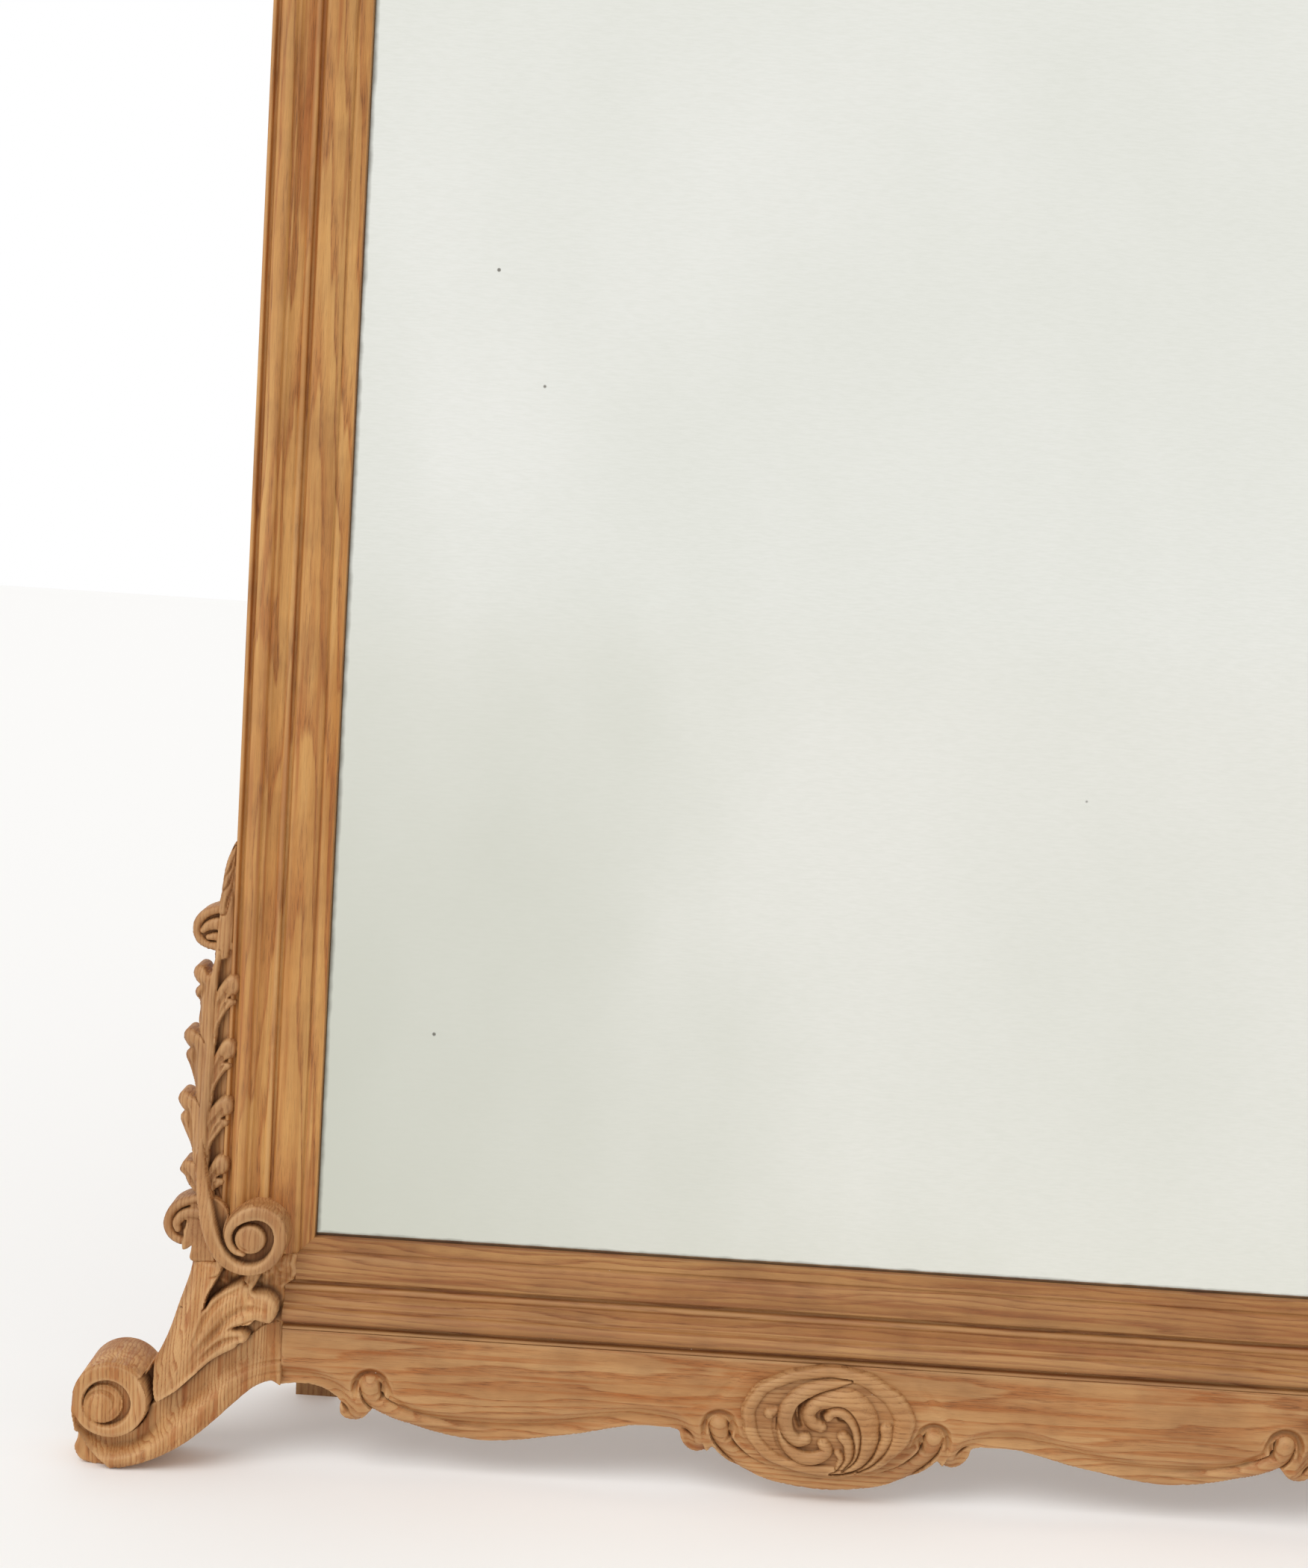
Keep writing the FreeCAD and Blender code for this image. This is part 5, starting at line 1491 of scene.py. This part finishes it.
# ---------------------------------------------------------------- apron and rosette
@dataclass
class Apron:
    """The serpentine board under the lower rail, with a coved edge, hooks and drops."""

    opening: Opening
    back: float = 7.8
    top: float = 112.0
    end: float = 420.0
    face_rise: float = 16.0
    line_reach: float = 93.0  # far enough for a line's side to hold up to the top
    fine_step: float = 0.75
    hook_places: tuple[float, float] = (95.0, 360.0)

    def edge(self) -> list[tuple[float, float]]:
        """The lower edge from seam to seam."""
        runs = [[(0, 12.4), (27, 14.7), (50, 20.2), (74, 31.2), (86.4, 41)],
                [(86.4, 41), (92, 36.2), (99, 34.6), (106, 37.6), (110.6, 44), (112.6, 50),
                 (120, 52.6)],
                [(120, 52.6), (144, 52.7), (166, 48.6), (189, 43), (211, 39.2), (234, 35),
                 (258, 32.8),
                 (281, 33.8), (303, 37.6), (326, 44), (349, 52.6)],
                [(349, 52.6), (354.5, 46.4), (361, 42.4), (368, 42.2), (373, 46), (374, 52),
                 (373.4, 55.6)],
                [(373.4, 55.6), (378, 60), (386, 65), (396, 68), (407, 68.6), (420, 67)]]
        return serpentine(runs, (self.end, 67))

    def sheet(self) -> Relief:
        """A flat sheet, finer at the hooks than along the plain stretches."""
        half = [0.0]
        while half[-1] < self.end + 1:
            close = min(abs(half[-1] - hook) for hook in self.hook_places)
            half.append(half[-1] + self.fine_step + float(eased(30, 60, np.array(close))))
        right = np.array(half)
        across = np.concatenate([-right[:0:-1], right])
        return Relief(across, steps(8, self.top + 1, 0.8), self.face_rise)

    def carve(self, seed: int) -> Relief:
        """Carves the apron's face.

        Args:
            seed: The number of its unevenness.

        Returns:
            The carved sheet.
        """
        face = self.sheet()
        outline = self.edge() + [(self.end, self.top), (-self.end, self.top)]
        face.cover(face.within(outline, smooth=False, reach=30))
        for side in (-1, 1):
            half = HalfSheet(face, side)
            self.cove(half)
            self.hooks(half)
        face.handwork(seed, 0.16, 9)
        face.fillet(2.4)
        return face

    def cove(self, half: "HalfSheet") -> None:
        """The cove that follows the lower edge, under a soft shoulder."""
        shoulder = half.border([(424, 86.5), (400, 85.5), (384, 81.6), (373, 75.5), (366, 69),
                                (361, 60), (358, 50)], self.line_reach)
        half.sink(shoulder, 5.6, 1.8, 11, eased(351, 357, half.across))
        middle = half.border([(330, 70), (324, 63), (306, 57.6), (280, 55), (250, 54.6),
                              (222, 57.4),
                              (194, 62.4), (166, 68.6), (144, 71.8), (124, 70), (110, 65),
                              (100, 57), (95, 46)], self.line_reach)
        half.sink(middle, 5.6, 1.8, 11, eased(87, 93, half.across) * eased(338, 322, half.across))

    def hooks(self, half: "HalfSheet") -> None:
        """The hook and drop at each end of the long lobe."""
        half.gouge([(362.4, 60, 2.4, 1.0), (362.6, 70, 4.2, 4.0), (359, 78.4, 4.6, 5.0),
                    (351, 81.6, 4.8, 5.0),
                    (342.6, 78.4, 4.8, 4.8), (338.4, 71, 4.4, 4.0), (334, 62, 4.0, 2.0),
                    (322, 56, 4, 0.6)])
        half.roll([(252, 40.4, 2.6, 11.6), (276, 41, 3.8, 12.4), (296, 43.4, 5.0, 13.4),
                   (312, 45.6, 5.8, 14.6),
                   (327, 49, 6.4, 15.6), (340, 55, 7.0, 16.8),
                   (348.6, 62, 7.6, 17.6), (350.6, 68, 8.2, 18.2), (351, 71, 8.4, 18.4)], 6.2)
        half.gouge([(345, 75, 1.4, 0.8), (341.4, 69, 3.2, 4.2), (341.6, 62.6, 2.8, 3.2),
                    (346, 59.6, 1.4, 0.4)])
        half.gouge([(375.6, 55.6, 1.3, 1.0), (371.8, 53.4, 1.8, 2.8), (368.2, 49.6, 1.7, 2.4),
                    (366.4, 46, 1.2, 0.4)])
        half.gouge([(93.6, 48, 2.2, 1.0), (93.6, 57, 3.8, 3.6), (90.4, 65, 4.2, 4.4),
                    (82.5, 68.4, 4.4, 4.4),
                    (74.6, 65.2, 4.4, 4.2), (70.6, 58, 4.0, 3.4), (66, 49, 3.6, 1.8),
                    (56, 42, 3.4, 0.4)])
        half.roll([(20, 21, 2.0, 13.4), (34, 22, 3.6, 14.6), (46, 25, 5.0, 15.2),
                   (60, 30.4, 5.8, 15.4), (71.6, 39, 6.4, 16.6),
                   (79.6, 48.4, 7.0, 17.4), (82.0, 55, 7.6, 18), (82.4, 58, 7.8, 18.2)], 6.0)
        half.gouge([(76.8, 62, 1.4, 0.8), (73, 56, 3.0, 4.0), (73.4, 50.2, 2.6, 3.0),
                    (77, 47, 1.3, 0.4)])
        half.gouge([(110, 52.6, 1.3, 1.0), (106, 50.4, 1.8, 2.8), (102, 47, 1.7, 2.4),
                    (100, 43.6, 1.2, 0.4)])
        half.gouge([(100, 72.6, 6, 0.4), (88, 80, 6, 1.0), (79, 88, 6, 1.0), (70, 98, 5, 0.5)])

    def build(self) -> None:
        """Makes the apron."""
        piece = self.carve(81).build("apron_carved", self.opening.across(), self.back)
        oak = Oak("stripped_oak_apron", Grain.ACROSS, (-30, 0, 20), pith=(-70, 120), ring=4.6,
                  tilt=0.02, pale="#C0925F", tan="#B17F4D")
        fit(piece, "frame", "stripped_oak", oak.build(), "apron")


class HalfSheet:
    """One half of a sheet, so that a carving is drawn once and cut on both sides."""

    def __init__(self, face: Relief, side: int) -> None:
        """Looks at one half of a face.

        Args:
            face: The whole face.
            side: -1 for the left half and 1 for the right.
        """
        self.face, self.side = face, side
        self.across = side * face.across
        self.here = self.across > 0

    def turned(self, points: Points) -> list[tuple[float, ...]]:
        """The points moved to this half."""
        return [(self.side * p[0], *p[1:]) for p in points]

    def border(self, points: Points, reach: float) -> Field:
        """Measures how far each point lies to the left of a line, as it was drawn."""
        return self.side * self.face.border(self.turned(points), reach)

    def sink(self, past: Field, deep: float, back: float, steep: float, where: Field) -> None:
        """Lowers this half past a line, steeply at first and then level to the edge.

        Args:
            past: How far past the line each point lies.
            deep: The greatest depth.
            back: How far the face comes up again, by 20 mm past the line.
            steep: How far past the line the face falls.
            where: How much of it shows, from 0 to 1.
        """
        past = np.maximum(past, 0)
        depth = (deep * eased(0, steep, past) - back * eased(steep, 20, past)) * where
        self.face.height -= depth * self.here

    def roll(self, points: Points, drop: float) -> None:
        """Raises a half-round strand out of this half's face."""
        line = self.face.stroke(self.turned(points))
        strand = line.top - drop * (1 - line.crown)
        free = eased(self.face.ground - 1.7, self.face.ground + 0.8, line.top)
        height = free * strand + (1 - free) * np.maximum(strand, self.face.height)
        self.face.lay(line.inside, height, 0.8)

    def gouge(self, points: Points) -> None:
        """Cuts a groove on this half."""
        self.face.gouge(self.turned(points))


@dataclass
class Rosette:
    """An oval block carved with a pinwheel of crescents inside a wavy rim."""

    name: str
    node: str
    centre: float  # mm above the floor
    radii: tuple[float, float]
    seat: float  # mm in front of the lip
    front: float
    place: Place

    def carve(self, seed: int) -> Relief:
        """Carves the oval, in places measured from its middle.

        Args:
            seed: The number of its unevenness.

        Returns:
            The carved sheet.
        """
        a, b = self.radii
        face = Relief(steps(-a - 2, a + 2, 0.6), steps(-b - 2, b + 2, 0.6), 0)
        angle = np.arctan2(face.up / b, face.across / a)
        wave = 1 + 0.012 * np.sin(5 * angle + 0.8) + 0.007 * np.sin(13 * angle)
        span = np.hypot(face.across / a, face.up / b) / wave
        face.cover((0.995 - span) * b)
        scale = a / 67
        lift = self.front - 28
        middle, half = 0.885 - 0.02 * np.cos(angle), 0.10 + 0.025 * np.cos(angle)
        rim = np.sqrt(1 - np.clip(np.abs(span - middle) / half, 0, 1) ** 2)
        face.height += 20.6 + lift + 3.4 * rim
        for strand, drop, lean in self.strands():
            line = face.stroke([(x * scale, z * scale, w * scale, top + lift)
                                for x, z, w, top in strand])
            fall = 1.1 * (1 - line.crown) + 0.5 * (0.5 + 0.5 * lean * line.side * line.share)
            face.lay(line.inside, line.top + 1.3 - drop * fall, 0.7)
        for groove in self.grooves():
            face.gouge([(x * scale, z * scale, w * scale, depth) for x, z, w, depth in groove])
        face.handwork(seed, 0.16)
        face.fillet(2.2)
        return face

    @staticmethod
    def strands() -> list[tuple[list[tuple[float, float, float, float]], float, int]]:
        """The crescents from the lowest up, each with its fall and the side it leans to."""
        return [
            ([(-44.6, 4.5, 4.6, 24.4), (-40, 7, 3, 23)], 3, 0),
            ([(44.8, -2, 5.0, 25.2), (45.6, -10, 4.4, 24.6), (41.8, -20, 4.2, 24),
              (34.3, -30, 3.4, 23),
              (26, -37, 2, 21)], 3, 1),
            ([(-37, 0, 2, 22), (-35, -12, 3.4, 24), (-29, -22, 4.4, 25.4), (-19, -28.4, 5.2, 26.4),
              (-7.4, -28.5, 5.4, 26.6), (0.4, -23, 5.0, 26.2), (-2.4, -16.5, 4.6, 25.4)], 3.8, -1),
            ([(15, 33, 2, 22), (3, 31, 4.4, 24.4), (-10, 27.4, 5.4, 25.8), (-21, 22, 6.2, 26.6),
              (-30, 12, 6.4, 27), (-33, 1.6, 5.8, 27), (-29.4, -10, 5.2, 26.8),
              (-22.5, -15.6, 5.2, 27),
              (-16.5, -14, 5.2, 27.2)], 4.2, -1),
            ([(-5.4, -4, 5, 26.4), (-12, -1, 5.2, 26.6), (-15, 7, 5.4, 26.6), (-9.6, 15, 6, 26.8),
              (2, 18.6, 7.6, 27), (15, 18, 9.8, 27.2), (26.4, 8, 10.2, 27.4), (31, -6, 9.2, 27.2),
              (30.5, -20, 7.4, 26.4), (25, -31, 5, 25), (16, -38, 3, 23),
              (5, -41, 1.5, 21)], 4.8, 1),
            ([(-0.2, 4.4, 3.4, 25.6), (3, 9.2, 4.0, 26.8), (10, 9.6, 4.2, 27.4), (17, 4, 3.8, 27.4),
              (21.8, -4.6, 3.2, 27), (23.4, -15, 2.8, 26.4), (21.6, -27, 2.4, 25),
              (14, -38, 1.2, 22)], 3.4, 1),
            ([(12.4, -10, 4.4, 25.4), (17.2, -16, 4.4, 25.8), (17.8, -26, 3.6, 25),
              (13.4, -36, 2, 22.6)], 3.2, 1),
            ([(9, -23, 2.8, 23.8), (12, -28, 2.8, 24), (9.4, -36, 1.8, 22)], 2.6, 1)]

    @staticmethod
    def grooves() -> list[list[tuple[float, float, float, float]]]:
        """The deep cuts between the crescents, and a drying crack."""
        return [[(-16, 18, 1.8, 1.5), (-22.4, 12, 2.8, 3.6), (-23.6, 4, 3.4, 5), (-21, -5, 3, 3.6)],
                [(0, 9.6, 1.2, 1.5), (-4.8, 6, 2.0, 3.4), (-3.6, 0.6, 1.8, 2)],
                [(6.4, 4.8, 1.2, 1.6), (9, 1.8, 1.5, 2.6), (14.6, 1, 1.0, 1)],
                [(-28, -30, 1, 0.3), (-36, -22, 2, 1.2), (-41, -8, 2, 1), (-42, 4, 1, 0.3)],
                [(12, -38.6, 0.5, 0.4), (22, -39.4, 0.7, 1.4), (34, -38.2, 0.6, 1.0)]]

    def build(self, seed: int) -> None:
        """Makes the rosette."""
        relief = self.carve(seed)
        middle = self.centre
        piece = relief.build(f"{self.name}_carved",
                             lambda x, up, rise: self.place(x, up + middle, rise), -self.seat)
        oak = Oak(f"carved_oak_{self.name}", Grain.ACROSS, (60, 20, 400.0 + seed), ring=4.0,
                  pith=(25, 70), pale="#C39461", tan="#B07C4A", orange="#A06A38", carved=0.85)
        fit(piece, "frame", "carved_oak", oak.build(), self.node)


# ---------------------------------------------------------------- crest
@dataclass
class Crest:
    """The board over the top rail: two wings that sweep up to a round head."""

    opening: Opening
    rail_top: float
    back: float = 7.8
    rise: float = 14.0

    def carve(self, seed: int) -> Relief:
        """Carves the crest's face, in heights above the top rail.

        Args:
            seed: The number of its unevenness.

        Returns:
            The carved sheet.
        """
        runs = [[(0, 121.6), (22, 119.4), (42, 112), (60, 101.4), (73, 91), (86, 71)],
                [(86, 71), (92, 75.4), (99, 75.6), (106, 70.4), (110.6, 63), (120, 58), (132, 49)],
                [(132, 49), (150, 48.4), (170, 50.4), (200, 54), (232, 55.4), (262, 51.6),
                 (286, 45.6), (308, 37),
                 (326, 26), (333, 20)],
                [(333, 20), (340, 17), (344, 10), (344.6, 0)]]
        face = Relief(steps(-347, 347, 1.15), steps(0, 124, 1.0), self.rise)
        face.cover(face.within(serpentine(runs, (344.6, 0)), smooth=False, reach=30))
        for side in (-1, 1):
            half = HalfSheet(face, side)
            brow = half.border([(334, 0), (326, 8), (306, 19), (280, 28), (246, 34), (210, 35),
                                (170, 31), (140, 29), (118, 34)], 43)
            half.sink(-brow, 4.4, 1.4, 10, eased(104, 120, half.across))
            half.gouge([(64, 44, 5, 1), (68, 60, 6, 3), (76, 40, 6, 3), (92, 38, 6, 3.4),
                        (108, 36, 6, 3),
                        (124, 30, 5, 1)])
            half.roll([(146, 38, 3, 12), (130, 41, 4.6, 13.4), (116, 47, 5.4, 14),
                       (106, 56, 5.6, 14), (100, 65, 5.4, 14),
                       (94, 68, 4.6, 14), (90, 62, 3.6, 13.4)], 3.0)
            half.roll([(58, 92, 4, 12.6), (72, 82, 5, 13.6), (81, 70, 5.2, 14), (84, 58, 5, 14),
                       (79, 50, 4.4, 14),
                       (73, 53, 3.4, 13.4)], 3.0)
        face.handwork(seed, 0.16, 9)
        face.fillet(2.2)
        return face

    def build(self) -> None:
        """Makes the crest."""
        place = self.opening.across()
        piece = self.carve(91).build(
            "crest_carved", lambda x, up, rise: place(x, up + self.rail_top, rise), self.back)
        oak = Oak("stripped_oak_crest", Grain.ACROSS, (80, 0, 240), pith=(40, 110), ring=4.8,
                  tilt=0.02)
        fit(piece, "frame", "stripped_oak", oak.build(), "crest_board")


# ---------------------------------------------------------------- pieces kept as they are
class KeptPieces:
    """The plate, the boards behind it, the prop and the ironwork, dressed as they stand."""

    def build(self) -> None:
        """Gives each kept node its finish."""
        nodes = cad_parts
        dress(nodes["mirror_plate"], SilveredPlate().build(Opening.from_frame()))
        boards = sorted(n for n in nodes
                        if n.startswith("back_board_") and n != "back_board_screws")
        for number, name in enumerate(boards):
            pine = Pine(f"sawn_pine_{number}", Grain.ACROSS, (number * 83.0, 0, 290.0))
            dress(nodes[name], pine.build())
        dress(nodes["plate_blocks"], Pine("sawn_pine_blocks", Grain.UPRIGHT).build())
        aged = {"pale": "#A27A4E", "tan": "#8E673E", "orange": "#7F5530", "carved": 0.0,
                "paint": False}
        upright = ("prop_left_leg", "prop_right_leg", "left_button_block", "right_button_block",
                   "left_turn_button", "right_turn_button")
        lying = ("rear_rail", "prop_top_rail", "prop_middle_rung", "prop_lower_rung")
        for names, grain, apart, along in ((lying, Grain.ACROSS, 31.0, 60),
                                           (upright, Grain.UPRIGHT, 57.0, 10)):
            for name in names:
                oak = Oak(f"rear_oak_{name}", grain, (len(name) * apart, 0, along), **aged)
                dress(nodes[name], oak.build())
        for name in ("frame_pegs", "prop_pegs"):
            dress(nodes[name], Oak(f"riven_oak_{name}", Grain.FORWARD, **aged).build())
        brass = Metal("cast_brass_dull", "#B08A48", "#6B522C", 0.38).build()
        steel = Metal("drawn_steel_oiled", "#7D7A75", "#4A3A2C", 0.42).build()
        for name in nodes:
            if "hinge" in name and "leaf" in name or name.endswith("button_screw"):
                dress(nodes[name], brass)
            elif "screws" in name or "pin" in name:
                dress(nodes[name], steel)


# ---------------------------------------------------------------- studio
@dataclass
class Studio:
    """A pale floor, a white surround, soft lamps and the camera."""

    camera_place: tuple[float, float, float] = (-0.1555, -1.7815, 0.7452)
    pitch_down: float = 6.574
    yaw: float = -0.262
    roll: float = 3.655
    lens: float = 53.14
    sensor: float = 36.0
    floor_half: float = 14.0  # metres from the middle to an edge
    sky_light: float = 0.72  # the surround lights less than it shows
    key_strength: float = 1.25
    key_spread: float = 38.0  # degrees, wide enough for shadows without an edge
    key_aim: tuple[float, float, float] = (0.42, 0.62, -0.86)

    def build(self) -> None:
        """Makes the stage."""
        self.floor()
        self.surround()
        self.lamps()
        self.camera()
        bpy.context.scene.view_settings.view_transform = "Standard"
        bpy.context.scene.view_settings.look = "None"

    def floor(self) -> None:
        """A wide pale floor."""
        mesh = bpy.data.meshes.new("studio_floor")
        half = self.floor_half
        mesh.from_pydata([(-half, -half, 0), (half, -half, 0), (half, half, 0),
                          (-half, half, 0)], [],
                         [(0, 1, 2, 3)])
        floor = bpy.data.objects.new("studio_floor", mesh)
        bpy.context.scene.collection.objects.link(floor)
        dress(floor, StudioFloor().build())

    def surround(self) -> None:
        """An even white surround."""
        world = bpy.data.worlds.new("studio_surround")
        world.use_nodes = True
        tree = world.node_tree
        tree.nodes.clear()
        add = partial(add_node, tree)
        seen = add("LightPath")
        plain = add("Math", seen.outputs["Is Camera Ray"], seen.outputs["Is Glossy Ray"],
                    operation="MAXIMUM")
        strength = add("Math", plain, 1 - self.sky_light, self.sky_light, operation="MULTIPLY_ADD")
        add("OutputWorld", add("Background", (1, 1, 1, 1), strength))
        bpy.context.scene.world = world

    def lamps(self) -> None:
        """A very broad key light from above on the left, even over the whole floor."""
        lamp = bpy.data.lights.new("key_light", "SUN")
        lamp.energy, lamp.angle = self.key_strength, math.radians(self.key_spread)
        holder = bpy.data.objects.new("key_light", lamp)
        bpy.context.scene.collection.objects.link(holder)
        holder.rotation_euler = Vector(self.key_aim).to_track_quat("-Z", "Y").to_euler()

    def camera(self) -> None:
        """The camera, a little rolled and looking slightly down."""
        pitch, yaw, roll = (math.radians(v) for v in (self.pitch_down, self.yaw, self.roll))
        ahead = Vector((math.sin(yaw) * math.cos(pitch), math.cos(yaw) * math.cos(pitch),
                        -math.sin(pitch)))
        level = Vector((math.cos(yaw), -math.sin(yaw), 0.0))
        upright = level.cross(ahead)
        right = math.cos(roll) * level + math.sin(roll) * upright
        up = math.cos(roll) * upright - math.sin(roll) * level
        data = bpy.data.cameras.new("camera")
        data.sensor_width = data.sensor_height = self.sensor
        data.sensor_fit = "VERTICAL"
        data.lens = self.lens
        camera = bpy.data.objects.new("camera", data)
        bpy.context.scene.collection.objects.link(camera)
        turn = Matrix((right, up, -ahead)).transposed().to_4x4()
        camera.matrix_world = Matrix.Translation(self.camera_place) @ turn
        bpy.context.scene.camera = camera


def main() -> None:
    """Builds the studio and every sub-assembly."""
    logging.basicConfig(level=logging.INFO, format="%(name)s %(message)s")
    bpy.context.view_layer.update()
    opening = Opening.from_frame()
    Studio().build()
    MouldedFrame(opening).build()
    ScrollFoot(opening).build()
    LeafBracket(opening).build()
    StileScroll(opening).build()
    Apron(opening).build()
    Rosette("apron_rosette", "apron_rosette", centre=69.0, radii=(67.0, 44.0),
            seat=16.0, front=28.0, place=opening.across()).build(101)
    rail_top = opening.top + opening.moulding
    Crest(opening, rail_top).build()
    Rosette("crest_ornament", "crest_ornament", centre=rail_top + 60.0, radii=(62.0, 42.0),
            seat=14.0, front=26.0, place=opening.across()).build(102)
    KeptPieces().build()


if __name__ == "__main__":
    main()
